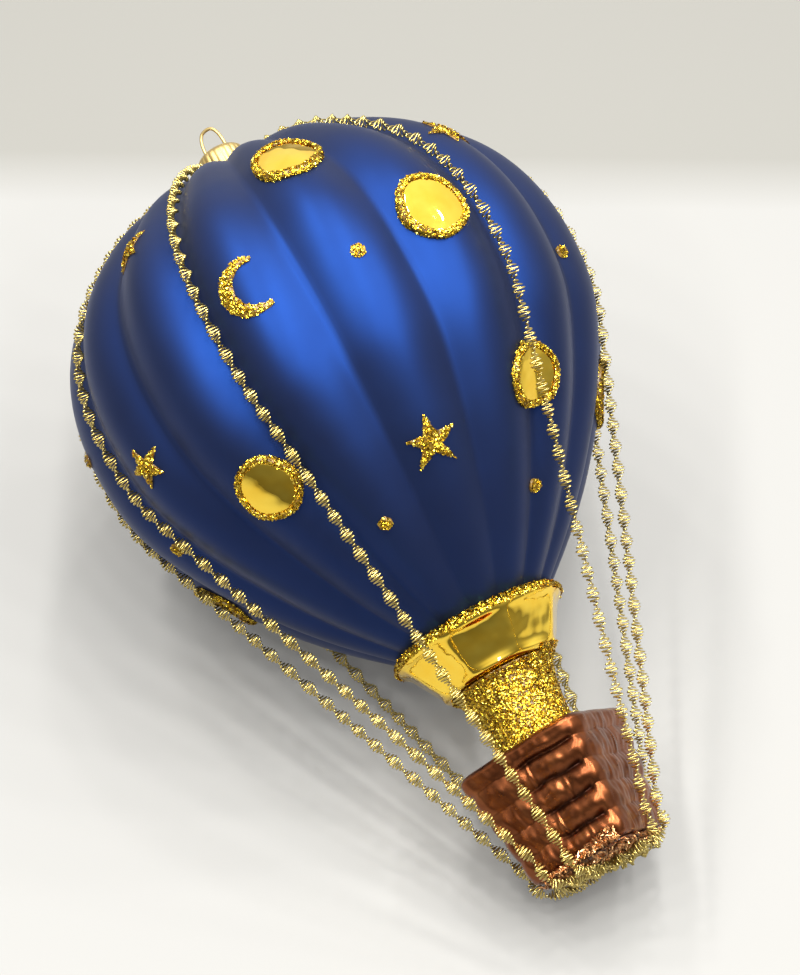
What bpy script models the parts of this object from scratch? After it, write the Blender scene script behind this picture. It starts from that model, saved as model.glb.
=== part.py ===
"""Glass tree ornament in the shape of a hot air balloon, hanging from its wire loop.

Lengths are written in millimetres and turned into metres by MM. +Z points up along the
ornament's axis, and the origin is the hook point: the inside top of the wire loop.
Azimuth is measured from -Y, the basket's front, towards +X, its right.
"""
import math

import bmesh
import bpy
from mathutils import Vector

MM = 0.001
GAP = 0.3                   # clearance between pieces that touch

# Envelope: a blown shell with rounded lobes
LOBES = 16
LOBE_TURN = 2.0             # azimuth of the valley nearest the front, degrees
COLUMNS_PER_LOBE = 4
GLASS_WALL = 1.0
# height, radius over the lobe crests, depth of the valleys
ENVELOPE_PROFILE = [
    (-13.2, 5.0, 0.0),
    (-12.6, 8.0, 0.3),
    (-12.0, 11.5, 0.8),
    (-12.2, 16.0, 1.1),
    (-14.1, 22.9, 1.6),
    (-18.1, 31.1, 2.1),
    (-25.3, 40.6, 2.5),
    (-33.4, 47.0, 2.6),
    (-43.4, 51.0, 2.6),
    (-55.4, 52.4, 2.6),
    (-69.4, 50.6, 2.5),
    (-83.4, 43.9, 2.2),
    (-95.4, 35.3, 1.8),
    (-105.4, 26.3, 1.2),
    (-114.6, 16.2, 0.6),
]
LEAN = 0.9                  # the blown shell sags to one side, most at its middle
LEAN_AZIMUTH = 112.5

# Pike, the glass neck that the cap sits on
PIKE_TOP = -6.8
PIKE_RADIUS = 3.9
PIKE_BORE = 3.1
PIKE_FOOT = -12.7           # where the pike meets the shoulder
PIKE_FOOT_INSIDE = -14.1

# Neck band: a flared gold collar of soft panels
BAND_PANELS = 8
BAND_TURN = 0.0             # azimuth of the rib at the front, degrees
BAND_COLUMNS = 48
# height, outer radius, depth between the ribs
BAND_OUTSIDE = [
    (-114.9, 16.4, 0.0),
    (-115.4, 17.6, 0.0),
    (-116.6, 17.6, 0.0),
    (-117.3, 16.9, 0.2),
    (-119.6, 15.7, 0.6),
    (-121.8, 14.3, 0.7),
    (-123.8, 13.0, 0.6),
    (-125.0, 12.1, 0.4),
    (-125.7, 11.2, 0.2),
]
# height, radius
BAND_INSIDE = [(-125.7, 9.0), (-124.6, 10.4), (-121.6, 12.6), (-117.2, 15.0), (-114.9, 14.9)]

# Throat between the neck band and the basket
THROAT_COLUMNS = 24
# height, radius
THROAT_OUTSIDE = [
    (-126.0, 9.7), (-127.6, 9.0), (-130.5, 8.4), (-134.5, 7.9), (-138.0, 7.8), (-140.0, 8.2),
]
THROAT_WALL = 0.9

# Basket: a square tapered box with rounded edges and rows of raised bars
BASKET_TOP = -140.3
BASKET_FLOOR = -164.8
BASKET_HALF_TOP = 14.2
BASKET_HALF_FLOOR = 11.2
BASKET_MOUTH = 7.1          # radius of the hole under the throat
BASKET_WALL = 1.1
BASKET_RIM = 4.2            # height of the plain rim above the rows
RIM_ROUND = 1.4             # height over which the rim's top edge is rounded
# in from the half width and down from the top, over the rounded edge
RIM_ROWS = [(1.3, 0.1), (0.3, 0.6), (0.0, RIM_ROUND)]
BAR_ROWS = 4
BAR_GROOVE = 0.7            # depth of the grooves between the rows
BAR_SHARES = (0.0, 0.28, 0.75)     # groove, top and foot of a bar, as shares of its row
FLOOR_ROUND = 0.6           # plain height under the last row
# in from the half width and up from the floor, round the floor's edge
FLOOR_ROWS = [(0.8, 0.2), (2.2, 0.0)]
INSIDE_HEIGHTS = (BASKET_FLOOR + 3.0, BASKET_TOP - 4.0, BASKET_TOP - 1.6)
BASKET_COLUMNS = 32
SQUARENESS = 7.0            # exponent of the rounded square
BASE_HALF = 10.2            # coarse glitter under the floor
BASE_THICK = 1.2
# in from the half width and down from the upper face
BASE_ROWS = [(0.5, 0.0), (0.0, 0.4), (0.2, 0.8), (1.2, BASE_THICK)]

# Metal cap and its wire loop
CAP_TOP = -6.0
CAP_WALL = 0.5
CAP_RADIUS = 4.8
CAP_DISC = 3.2              # radius of the cap's flat top
CAP_SKIRT = -9.9
CAP_FLARE = 0.6
CRIMP_DEPTH = 0.3
CAP_CRIMPS = 16
CAP_COLUMNS = 64
WIRE = 0.35                 # radius of the loop's wire
LEG_HOLE = 0.68
WIRE_SIDES = 8
# half width and height of the loop's centre line, from the leg's end to the top
LOOP_HALF = [
    (2.40, -20.5), (2.40, -17.5), (2.40, -14.5), (2.40, -11.5), (2.40, -8.5), (2.40, -6.3),
    (2.40, -4.6), (2.36, -3.3), (2.24, -2.2), (2.02, -1.3), (1.68, -0.55),
    (1.22, 0.02), (0.64, 0.28), (0.0, 0.35),
]
LEG_AT_CAP = 2.40           # half width of the loop where its legs pass the cap's top
TIE_INNER, TIE_OUTER = 4.25, 6.0     # wire wound round the pike under the cap
TIE_LOW, TIE_HIGH = -12.0, -10.3
TIE_COLUMNS = 24

# Crinkled wire strands, each a tube of its outer size
STRAND = 1.1
STRAND_SIDES = 6
STRAND_CLEAR = 0.6          # from the tube to the valley that it lies in
STRAND_STEP = 4.0           # spacing of a strand's points on the envelope
STRAND_START = 7.6          # radius where a strand leaves the tie
STRAND_FOOT = -161.8
STRAND_END = -168.4
FREE_STEPS = 8              # points of a strand between the envelope and the basket
DRIFT_POWER = 4             # a strand changes its azimuth mostly where it leaves the envelope
# name, azimuth where it starts and where it leaves the envelope, extra stand-off, foot x, foot y
STRANDS = [
    ("strand_front", 3.0, 3.6, 0.4, -0.7, -13.2),
    ("strand_right_front", 70.0, 65.0, 2.0, 13.2, -1.8),
    ("strand_right_back", 112.3, 112.3, 0.0, 13.2, 4.4),
    ("strand_back_right", 137.0, 137.0, 0.0, 7.5, 13.2),
    ("strand_back", 182.0, 182.0, 0.0, 0.7, 13.2),
    ("strand_left_back", 249.5, 249.5, 0.0, -13.2, 4.6),
    ("strand_left_front", 294.5, 294.5, 0.0, -13.2, -4.8),
    ("strand_front_left", 318.0, 319.0, 0.0, -6.6, -13.2),
]
BUNDLE_TOP = -166.6         # the strands cross under the basket
BUNDLE_LOW = -168.8
BUNDLE_HUB = 4.6
BUNDLE_ARM = 1.0            # half the width of an arm

# Gold windows with raised rims
WINDOW_RIM = 1.4
WINDOW_LIFT = 0.7           # mirror over the glass
RIM_LIFT = 0.45             # rim over the mirror
WINDOW_FLAT = 0.5           # 0 follows the glass, 1 is a flat disc
WINDOW_SIDES = 16
# azimuth, height, radius
WINDOWS = [
    (36.7, -27.6, 6.9), (57.0, -49.9, 7.1), (69.2, -84.3, 6.3), (-7.0, -81.5, 6.4), (-78.2, -85.6, 6.9),
    (125.2, -83.6, 6.9), (148.2, -40.0, 6.9), (171.0, -76.0, 6.9), (215.8, -50.0, 6.9),
    (236.0, -86.0, 6.9), (260.8, -36.0, 6.9),
]
STAR_WAIST = 0.4            # inner radius as a share of the outer
# azimuth, height, turn in degrees, outer radius
STARS = [
    (-13.5, -26.0, 12.0, 5.2), (-29.5, -64.6, 6.0, 4.9), (34.4, -88.6, -4.0, 5.6), (82.0, -32.0, 10.0, 5.6),
    (126.0, -58.0, 0.0, 5.6), (193.2, -30.0, -8.0, 5.6), (215.0, -82.0, 5.0, 5.6), (260.0, -68.0, -6.0, 5.6),
]
CRESCENT_RADIUS, CRESCENT_WIDTH = 5.9, 3.0
CRESCENT_SWEEP = 118.0      # half the angle that a crescent spans
CRESCENT_SHIFT = 1.2        # its circle's middle beside the ornament's own
# azimuth, height, turn in degrees
CRESCENTS = [(12.9, -49.5, 0.0), (170.8, -48.0, 0.0), (283.0, -50.0, 0.0)]
DOT_RADIUS = 1.5
# azimuth, height
DOTS = [
    (37.0, -53.3), (12.6, -96.5), (70.4, -101.2), (94.5, -62.0), (-47.5, -77.5),
    (146.0, -70.0), (192.0, -60.0), (236.0, -60.0), (282.0, -66.0), (305.0, -52.0),
]
DECAL_SEAT = 0.35           # underside of an ornament over the glass
DECAL_THICK = 0.75
DECAL_EDGE = 0.2            # a star's rim lies lower than its middle
CRESCENT_TIP = 0.16         # width at its ends as a share of its width

# name: base colour, roughness, metallic
MATERIALS = {
    "blue_lacquer": ((0.015, 0.055, 0.33), 0.34, 0.35),
    "gold_mirror": ((0.95, 0.68, 0.20), 0.08, 1.0),
    "gold_glitter": ((0.90, 0.58, 0.12), 0.35, 1.0),
    "copper_lacquer": ((0.28, 0.09, 0.045), 0.28, 0.85),
    "copper_glitter": ((0.45, 0.22, 0.10), 0.4, 1.0),
    "cap_metal": ((0.93, 0.68, 0.25), 0.22, 1.0),
    "crinkle_wire": ((0.80, 0.68, 0.32), 0.25, 1.0),
}


def clear_scene():
    for obj in list(bpy.data.objects):
        bpy.data.objects.remove(obj, do_unlink=True)


def make_material(name):
    colour, roughness, metallic = MATERIALS[name]
    material = bpy.data.materials.new(name)
    material.use_nodes = True
    shader = material.node_tree.nodes["Principled BSDF"]
    shader.inputs["Base Color"].default_value = (*colour, 1.0)
    shader.inputs["Roughness"].default_value = roughness
    shader.inputs["Metallic"].default_value = metallic
    material.diffuse_color = (*colour, 1.0)
    return material


def add_mesh(name, vertices, faces, material, sharp=35.0):
    """One closed body from vertices in millimetres."""
    mesh = bpy.data.meshes.new(name)
    mesh.from_pydata([Vector(v) * MM for v in vertices], [], faces)
    work = bmesh.new()
    work.from_mesh(mesh)
    bmesh.ops.recalc_face_normals(work, faces=work.faces)
    work.to_mesh(mesh)
    work.free()
    mesh.materials.append(material)
    mesh.shade_smooth()
    mesh.set_sharp_from_angle(angle=math.radians(sharp))
    obj = bpy.data.objects.new(name, mesh)
    bpy.context.collection.objects.link(obj)
    return obj


def join_rings(rings, closed):
    """Faces between neighbouring rings of equal length; closed joins the last to the first."""
    count = len(rings[0])
    vertices = [v for ring in rings for v in ring]
    faces = []
    pairs = len(rings) if closed else len(rings) - 1
    for i in range(pairs):
        low, high = i * count, (i + 1) % len(rings) * count
        for j in range(count):
            k = (j + 1) % count
            faces.append((low + j, low + k, high + k, high + j))
    return vertices, faces


def at(azimuth, radius, height):
    """A point from its azimuth in degrees, its radius and its height."""
    angle = math.radians(azimuth)
    return Vector((radius * math.sin(angle), -radius * math.cos(angle), height))


def smooth_rows(rows, steps):
    """Catmull-Rom curve through rows of numbers, with steps intervals between two rows."""
    padded = [rows[0]] + list(rows) + [rows[-1]]
    out = []
    for i in range(1, len(padded) - 2):
        a, b, c, d = padded[i - 1:i + 3]
        for step in range(steps):
            t = step / steps
            out.append(tuple(
                0.5 * (2 * q + (r - p) * t + (2 * p - 5 * q + 4 * r - s) * t * t
                       + (3 * q - p - 3 * r + s) * t ** 3)
                for p, q, r, s in zip(a, b, c, d)))
    out.append(tuple(rows[-1]))
    return out


class Envelope:
    """The envelope's outer surface, read by azimuth and by arc length down its profile."""

    def __init__(self, steps):
        rows = smooth_rows(ENVELOPE_PROFILE, steps)
        self.points = [Vector((radius, height)) for height, radius, _ in rows]
        self.depths = [depth for _, _, depth in rows]
        self.arc = [0.0]
        for a, b in zip(self.points, self.points[1:]):
            self.arc.append(self.arc[-1] + (b - a).length)

    def normal(self, i):
        before = self.points[max(i - 1, 0)]
        after = self.points[min(i + 1, len(self.points) - 1)]
        along = (after - before).normalized()
        return Vector((-along.y, along.x))

    def read(self, arc):
        """Crest point, normal and valley depth at an arc length."""
        i = max(k for k in range(len(self.arc) - 1) if self.arc[k] <= max(arc, 0.0))
        t = (arc - self.arc[i]) / (self.arc[i + 1] - self.arc[i])
        point = self.points[i].lerp(self.points[i + 1], t)
        normal = self.normal(i).lerp(self.normal(i + 1), t).normalized()
        return point, normal, self.depths[i] * (1 - t) + self.depths[i + 1] * t

    def arc_at(self, height):
        """Arc length where the profile passes a height, below the shoulder."""
        for i in range(4 * len(self.arc) // len(ENVELOPE_PROFILE), len(self.arc) - 1):
            high, low = self.points[i].y, self.points[i + 1].y
            if high >= height >= low:
                return self.arc[i] + (high - height) / (high - low) * (self.arc[i + 1] - self.arc[i])
        raise ValueError(f"no profile point at height {height}")

    def place(self, azimuth, arc, lift):
        """A point on the lobed surface, lifted along the profile's normal."""
        point, normal, depth = self.read(arc)
        spot = point - normal * (depth * (1 - lobe(azimuth)) - lift)
        return leaning(azimuth, spot.x, spot.y)


def lobe(azimuth):
    """0 in a valley and 1 on a crest."""
    return abs(math.sin(math.radians((azimuth - LOBE_TURN) * LOBES / 2)))


def leaning(azimuth, radius, height):
    """A point of the envelope, moved to the side that the envelope leans to."""
    top, low = ENVELOPE_PROFILE[0][0], ENVELOPE_PROFILE[-1][0]
    share = min(max((top - height) / (top - low), 0.0), 1.0)
    return at(azimuth, radius, height) + at(LEAN_AZIMUTH, LEAN * math.sin(math.pi * share), 0.0)


def build_envelope(material):
    surface = Envelope(1)
    columns = LOBES * COLUMNS_PER_LOBE
    azimuths = [LOBE_TURN + 360.0 * j / columns for j in range(columns)]

    def skin(i, inset):
        point, normal, depth = surface.points[i], surface.normal(i), surface.depths[i]
        ring = []
        for azimuth in azimuths:
            spot = point - normal * (depth * (1 - lobe(azimuth)) + inset)
            ring.append(leaning(azimuth, spot.x, spot.y))
        return ring

    def plain(radius, height):
        return [at(azimuth, radius, height) for azimuth in azimuths]

    count = len(surface.points)
    rings = [plain(PIKE_RADIUS, PIKE_TOP), plain(PIKE_RADIUS, PIKE_FOOT)]
    rings += [skin(i, 0.0) for i in range(count)]
    low_height, low_radius, _ = ENVELOPE_PROFILE[-1]
    rings.append(plain(low_radius - GLASS_WALL, low_height))
    rings += [skin(i, GLASS_WALL) for i in range(count - 2, 1, -1)]
    rings.append(plain(PIKE_BORE, PIKE_FOOT_INSIDE))
    rings.append(plain(PIKE_BORE, PIKE_TOP))
    vertices, faces = join_rings(rings, closed=True)
    return add_mesh("envelope", vertices, faces, material)


def turned(name, outside, inside, columns, material):
    """A closed wall from an outer and an inner profile of (height, radius)."""
    azimuths = [360.0 * j / columns for j in range(columns)]
    rings = [[at(a, radius, height) for a in azimuths] for height, radius in outside + inside]
    vertices, faces = join_rings(rings, closed=True)
    return add_mesh(name, vertices, faces, material)


def build_neck_band(material):
    rings = []
    azimuths = [360.0 * j / BAND_COLUMNS for j in range(BAND_COLUMNS)]
    for height, radius, depth in BAND_OUTSIDE:
        ring = []
        for azimuth in azimuths:
            panel = abs(math.sin(math.radians((azimuth - BAND_TURN) * BAND_PANELS / 2)))
            ring.append(at(azimuth, radius - depth * (1 - panel), height))
        rings.append(ring)
    for height, radius in BAND_INSIDE:
        rings.append([at(azimuth, radius, height) for azimuth in azimuths])
    vertices, faces = join_rings(rings, closed=True)
    return add_mesh("neck_band", vertices, faces, material)


def build_throat(material):
    inside = [(height, radius - THROAT_WALL) for height, radius in reversed(THROAT_OUTSIDE)]
    return turned("throat", THROAT_OUTSIDE, inside, THROAT_COLUMNS, material)


def squared(azimuth, half):
    """Radius of a rounded square of the given half width."""
    angle = math.radians(azimuth)
    power = SQUARENESS
    return half / (abs(math.sin(angle)) ** power + abs(math.cos(angle)) ** power) ** (1 / power)


def basket_half(height):
    share = (BASKET_TOP - height) / (BASKET_TOP - BASKET_FLOOR)
    return BASKET_HALF_TOP + (BASKET_HALF_FLOOR - BASKET_HALF_TOP) * share


def build_basket(material):
    azimuths = [360.0 * j / BASKET_COLUMNS for j in range(BASKET_COLUMNS)]
    bed = BASKET_WALL + BAR_GROOVE          # from the bars' crests to the inner wall

    def round_ring(radius, height):
        return [at(a, radius, height) for a in azimuths]

    def square_ring(half, height):
        return [at(a, squared(a, half), height) for a in azimuths]

    outside = [(BASKET_HALF_TOP - inward, BASKET_TOP - down) for inward, down in RIM_ROWS]
    rows_top = BASKET_TOP - BASKET_RIM
    row = (rows_top - BASKET_FLOOR - FLOOR_ROUND) / BAR_ROWS
    for i in range(BAR_ROWS):
        for share in BAR_SHARES:
            height = rows_top - row * (i + share)
            depth = BAR_GROOVE if share == 0 else 0.0
            outside.append((basket_half(height) - depth, height))
    outside += [(BASKET_HALF_FLOOR - inward, BASKET_FLOOR + up) for inward, up in FLOOR_ROWS]
    floor_inside = outside[-1][0] - 0.2
    inside = [(floor_inside, BASKET_FLOOR + BASKET_WALL)]
    inside += [(basket_half(height) - bed, height) for height in INSIDE_HEIGHTS]

    rings = [round_ring(BASKET_MOUTH, BASKET_TOP)]
    rings += [square_ring(half, height) for half, height in outside + inside]
    rings.append(round_ring(BASKET_MOUTH, BASKET_TOP - BASKET_WALL))
    vertices, faces = join_rings(rings, closed=True)
    # the floor is a plate, so the strip that joins its two faces goes and two caps take its place
    count = len(azimuths)
    floor_start = len(outside) * count
    strip = range(floor_start, floor_start + count)
    faces = [face for face in faces if not (face[0] in strip and face[3] - face[0] == count)]
    faces.append(tuple(strip))
    faces.append(tuple(index + count for index in strip))
    return add_mesh("basket", vertices, faces, material)


def build_base(material):
    azimuths = [360.0 * j / BASKET_COLUMNS for j in range(BASKET_COLUMNS)]
    top = BASKET_FLOOR - GAP
    rings = [[at(a, squared(a, BASE_HALF - inward), top - down) for a in azimuths]
             for inward, down in BASE_ROWS]
    vertices, faces = join_rings(rings, closed=False)
    count = len(azimuths)
    faces.append(tuple(range(count)))
    faces.append(tuple((len(rings) - 1) * count + j for j in range(count)))
    return add_mesh("base_glitter", vertices, faces, material)


def build_cap(material):
    azimuths = [360.0 * j / CAP_COLUMNS for j in range(CAP_COLUMNS)]

    def crimp(azimuth):
        return CRIMP_DEPTH * (1 - abs(math.sin(math.radians(azimuth * CAP_CRIMPS / 2))))

    top, under = CAP_TOP, CAP_TOP - CAP_WALL
    # height, radius, share of the crimps' depth
    profile = [(top, CAP_DISC, 0.0), (top - 0.1, CAP_RADIUS - 0.5, 0.2), (top - 0.5, CAP_RADIUS, 0.5),
               (CAP_SKIRT + 1.0, CAP_RADIUS + 0.1, 0.5), (CAP_SKIRT, CAP_RADIUS + CAP_FLARE, 1.0),
               (CAP_SKIRT, PIKE_RADIUS + GAP, 0.0), (under, PIKE_RADIUS + GAP - 0.1, 0.0),
               (under, CAP_DISC - 0.2, 0.0)]
    rings = [[at(a, radius - share * crimp(a), height) for a in azimuths]
             for height, radius, share in profile]
    vertices, faces = join_rings(rings, closed=False)
    count = len(azimuths)
    faces.append(tuple(range(count)))
    faces.append(tuple((len(rings) - 1) * count + j for j in range(count)))
    cap = add_mesh("cap", vertices, faces, material)
    for side, x in (("left", -LEG_AT_CAP), ("right", LEG_AT_CAP)):
        bpy.ops.mesh.primitive_cylinder_add(
            vertices=16, radius=LEG_HOLE * MM, depth=8 * CAP_WALL * MM,
            location=(x * MM, 0, (CAP_TOP - CAP_WALL / 2) * MM))
        cutter = bpy.context.object
        cutter.name = f"leg_hole_guide_{side}"
        cutter.hide_render = True
        cutter.display_type = "WIRE"
        cut = cap.modifiers.new(cutter.name, "BOOLEAN")
        cut.operation = "DIFFERENCE"
        cut.object = cutter
    return cap


def tube(name, path, radius, sides, material):
    """A closed round tube along a path of points in millimetres."""
    points = [Vector(p) for p in path]
    rings = []
    side = None
    for i, point in enumerate(points):
        along = (points[min(i + 1, len(points) - 1)] - points[max(i - 1, 0)]).normalized()
        if side is None:
            side = along.orthogonal().normalized()
        side = (side - along * side.dot(along)).normalized()
        up = along.cross(side)
        rings.append([point + (side * math.cos(2 * math.pi * k / sides)
                               + up * math.sin(2 * math.pi * k / sides)) * radius
                      for k in range(sides)])
    vertices, faces = join_rings(rings, closed=False)
    faces.append(tuple(range(sides)))
    faces.append(tuple((len(rings) - 1) * sides + k for k in range(sides)))
    return add_mesh(name, vertices, faces, material, sharp=60.0)


def build_loop(material):
    left = [(-x, 0.0, z) for x, z in LOOP_HALF]
    right = [(x, 0.0, z) for x, z in reversed(LOOP_HALF[:-1])]
    return tube("wire_loop", left + right, WIRE, WIRE_SIDES, material)


def build_tie(material):
    middle = (TIE_LOW + TIE_HIGH) / 2
    outside = [(TIE_HIGH, TIE_OUTER - 0.6), (middle + 0.4, TIE_OUTER), (middle - 0.3, TIE_OUTER)]
    inside = [(TIE_LOW + 0.2, TIE_OUTER - 0.8), (TIE_LOW + 0.35, TIE_INNER), (TIE_HIGH, TIE_INNER)]
    return turned("wire_tie", outside, inside, TIE_COLUMNS, material)


def strand_path(surface, start, leave, stand_off, foot_x, foot_y):
    """From the tie down the valley, then taut to the foot of the basket."""
    foot = Vector((foot_x, foot_y, STRAND_FOOT))
    foot_radius = math.hypot(foot_x, foot_y)
    arcs = []
    arc = 0.0
    while arc < surface.arc[-1]:
        if surface.read(arc)[0].x > STRAND_START:
            arcs.append(arc)
        arc += STRAND_STEP

    def slope(arc):
        point = surface.read(arc)[0]
        return (point.x - foot_radius) / (point.y - STRAND_FOOT)

    resting = arcs[:arcs.index(max(arcs, key=slope)) + 1]
    path = []
    for i, arc in enumerate(resting):
        share = (i / (len(resting) - 1)) ** DRIFT_POWER
        azimuth = start + (leave - start) * share
        spot = surface.place(azimuth, arc, STRAND + STRAND_CLEAR)
        path.append(spot + at(azimuth, stand_off * share, 0.0))
    last = path[-1]
    path += [last.lerp(foot, step / FREE_STEPS) for step in range(1, FREE_STEPS + 1)]
    for share in (0.3, 1.0):
        path.append(Vector((foot_x, foot_y, STRAND_FOOT + (STRAND_END - STRAND_FOOT) * share)))
    return path


def build_strands(surface, material):
    for name, start, leave, stand_off, foot_x, foot_y in STRANDS:
        path = strand_path(surface, start, leave, stand_off, foot_x, foot_y)
        tube(name, path, STRAND, STRAND_SIDES, material)


def build_bundle(material):
    """The strands crossing under the basket: one flat star with an arm to each strand."""
    feet = sorted((math.atan2(x, -y), math.hypot(x, y)) for *_, x, y in STRANDS)
    outline = []
    for i, (angle, radius) in enumerate(feet):
        direction = Vector((math.sin(angle), -math.cos(angle)))
        across = Vector((-direction.y, direction.x))
        end = direction * (radius - STRAND - 1.3 * GAP)
        outline += [end - across * BUNDLE_ARM, end + across * BUNDLE_ARM]
        following = feet[(i + 1) % len(feet)][0]
        step = (following - angle) % (2 * math.pi)
        middle = angle + step / 2
        notch = STRAND / math.sin(step / 2) + 0.6
        hub = max(min(notch, BUNDLE_HUB), 0.8 * BUNDLE_HUB)
        outline.append(Vector((math.sin(middle), -math.cos(middle))) * hub)
    count = len(outline)
    vertices = [(p.x, p.y, BUNDLE_LOW) for p in outline] + [(p.x, p.y, BUNDLE_TOP) for p in outline]
    faces = [tuple(range(count)), tuple(range(count, 2 * count))]
    faces += [(j, (j + 1) % count, count + (j + 1) % count, count + j) for j in range(count)]
    return add_mesh("wire_bundle", vertices, faces, material)


def layered(name, layers, centre_top, centre_low, material):
    """A closed body from outlines going over its top and under; both middles are one point."""
    vertices, faces = join_rings(layers, closed=False)
    count = len(layers[0])
    vertices += [centre_top, centre_low]
    top, low = len(vertices) - 2, len(vertices) - 1
    last = (len(layers) - 1) * count
    for j in range(count):
        k = (j + 1) % count
        faces.append((top, k, j))
        faces.append((low, last + j, last + k))
    return add_mesh(name, vertices, faces, material)


def laid_point(surface, azimuth, arc, turn, x, y, lift):
    """A point of an ornament laid on the lobed surface; x to the right, y up."""
    angle = math.radians(turn)
    across = x * math.cos(angle) - y * math.sin(angle)
    upward = x * math.sin(angle) + y * math.cos(angle)
    spot_arc = arc - upward
    spot = surface.read(spot_arc)[0]
    return surface.place(azimuth + math.degrees(across / spot.x), spot_arc, lift)


def build_windows(surface, material):
    circle = [2 * math.pi * j / WINDOW_SIDES for j in range(WINDOW_SIDES)]
    for number, (azimuth, height, radius) in enumerate(WINDOWS, 1):
        arc = surface.arc_at(height)
        point, normal, _ = surface.read(arc)
        crest = leaning(azimuth, point.x, point.y)
        ahead = at(azimuth, normal.x, normal.y)
        across = at(azimuth + 90.0, 1.0, 0.0)
        upward = ahead.cross(across)

        def spot(reach, turn, lift):
            x, y = reach * math.cos(turn), reach * math.sin(turn)
            on_glass = laid_point(surface, azimuth, arc, 0.0, x, y, lift)
            flat = crest + across * x + upward * y + ahead * lift
            return on_glass.lerp(flat, WINDOW_FLAT)

        def ring(reach, lift):
            return [spot(reach, turn, lift) for turn in circle]

        def seat(reach):
            return [laid_point(surface, azimuth, arc, 0.0, reach * math.cos(turn), reach * math.sin(turn),
                               DECAL_SEAT) for turn in circle]

        mirror = radius - WINDOW_RIM
        rim = WINDOW_LIFT + RIM_LIFT
        layers = [ring(mirror, WINDOW_LIFT), ring(mirror + 0.3, rim), ring(radius - 0.4, rim),
                  ring(radius, WINDOW_LIFT), seat(radius), seat(radius * 0.5)]
        low = surface.place(azimuth, arc, DECAL_SEAT)
        layered(f"window_{number:02d}", layers, spot(0.0, 0.0, WINDOW_LIFT), low, material)


def build_stars(surface, material):
    points = 10
    for number, (azimuth, height, turn, outer) in enumerate(STARS, 1):
        arc = surface.arc_at(height)

        def ring(scale, lift):
            spots = []
            for j in range(points):
                reach = outer * scale * (1.0 if j % 2 == 0 else STAR_WAIST)
                angle = math.pi / 2 + 2 * math.pi * j / points
                spots.append(laid_point(surface, azimuth, arc, turn,
                                        reach * math.cos(angle), reach * math.sin(angle), lift))
            return spots

        thick = DECAL_SEAT + DECAL_THICK
        layers = [ring(0.5, thick), ring(1.0, thick - DECAL_EDGE),
                  ring(1.0, DECAL_SEAT), ring(0.5, DECAL_SEAT)]
        top = surface.place(azimuth, arc, thick)
        low = surface.place(azimuth, arc, DECAL_SEAT)
        layered(f"star_{number}", layers, top, low, material)


def build_crescents(surface, material):
    """Each a tapering arc, open towards the upper right."""
    steps = 14
    for number, (azimuth, height, turn) in enumerate(CRESCENTS, 1):
        arc = surface.arc_at(height)
        rings = []
        for j in range(steps + 1):
            share = 2 * j / steps - 1
            angle = math.radians(180 + CRESCENT_SWEEP * share)
            width = CRESCENT_WIDTH * max(CRESCENT_TIP, math.cos(math.radians(80 * share)))
            outer = CRESCENT_RADIUS
            inner = outer - width
            section = [(inner, 0.0), (outer, 0.0), (outer - 0.1, 0.5), ((inner + outer) / 2, DECAL_THICK),
                       (inner + 0.1, 0.5)]
            rings.append([laid_point(surface, azimuth, arc, turn, reach * math.cos(angle) + CRESCENT_SHIFT,
                                     reach * math.sin(angle), DECAL_SEAT + lift) for reach, lift in section])
        vertices, faces = join_rings(rings, closed=False)
        corners = len(section)
        faces.append(tuple(range(corners)))
        faces.append(tuple(steps * corners + k for k in range(corners)))
        add_mesh(f"crescent_{number}", vertices, faces, material)


def build_dots(surface, material):
    sides = 8
    for number, (azimuth, height) in enumerate(DOTS, 1):
        arc = surface.arc_at(height)

        def ring(radius, lift):
            turns = [2 * math.pi * j / sides for j in range(sides)]
            return [laid_point(surface, azimuth, arc, 0.0,
                               radius * math.cos(turn), radius * math.sin(turn), lift) for turn in turns]

        layers = [ring(DOT_RADIUS, DECAL_SEAT + 0.5 * DECAL_THICK), ring(DOT_RADIUS, DECAL_SEAT)]
        top = surface.place(azimuth, arc, DECAL_SEAT + 1.3 * DECAL_THICK)
        low = surface.place(azimuth, arc, DECAL_SEAT)
        layered(f"dot_{number:02d}", layers, top, low, material)


def main():
    clear_scene()
    made = {name: make_material(name) for name in MATERIALS}
    surface = Envelope(8)
    build_envelope(made["blue_lacquer"])
    build_neck_band(made["gold_mirror"])
    build_throat(made["gold_glitter"])
    build_basket(made["copper_lacquer"])
    build_base(made["copper_glitter"])
    build_cap(made["cap_metal"])
    build_loop(made["cap_metal"])
    build_tie(made["crinkle_wire"])
    build_strands(surface, made["crinkle_wire"])
    build_bundle(made["crinkle_wire"])
    build_windows(surface, made["gold_mirror"])
    build_stars(surface, made["gold_glitter"])
    build_crescents(surface, made["gold_glitter"])
    build_dots(surface, made["gold_glitter"])


main()
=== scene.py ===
"""The looks of a glass tree ornament shaped as a hot air balloon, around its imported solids.

Lengths are written in millimetres and turned into metres by MM. The frame is the part's own:
+Z points up the ornament's axis, the origin is the hook point, and azimuth is measured from
-Y towards +X. The ornament lies on its side, as photographed, on a table tangent to it.
"""
import math

import bpy
import numpy as np
from mathutils import Matrix, Vector


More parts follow.
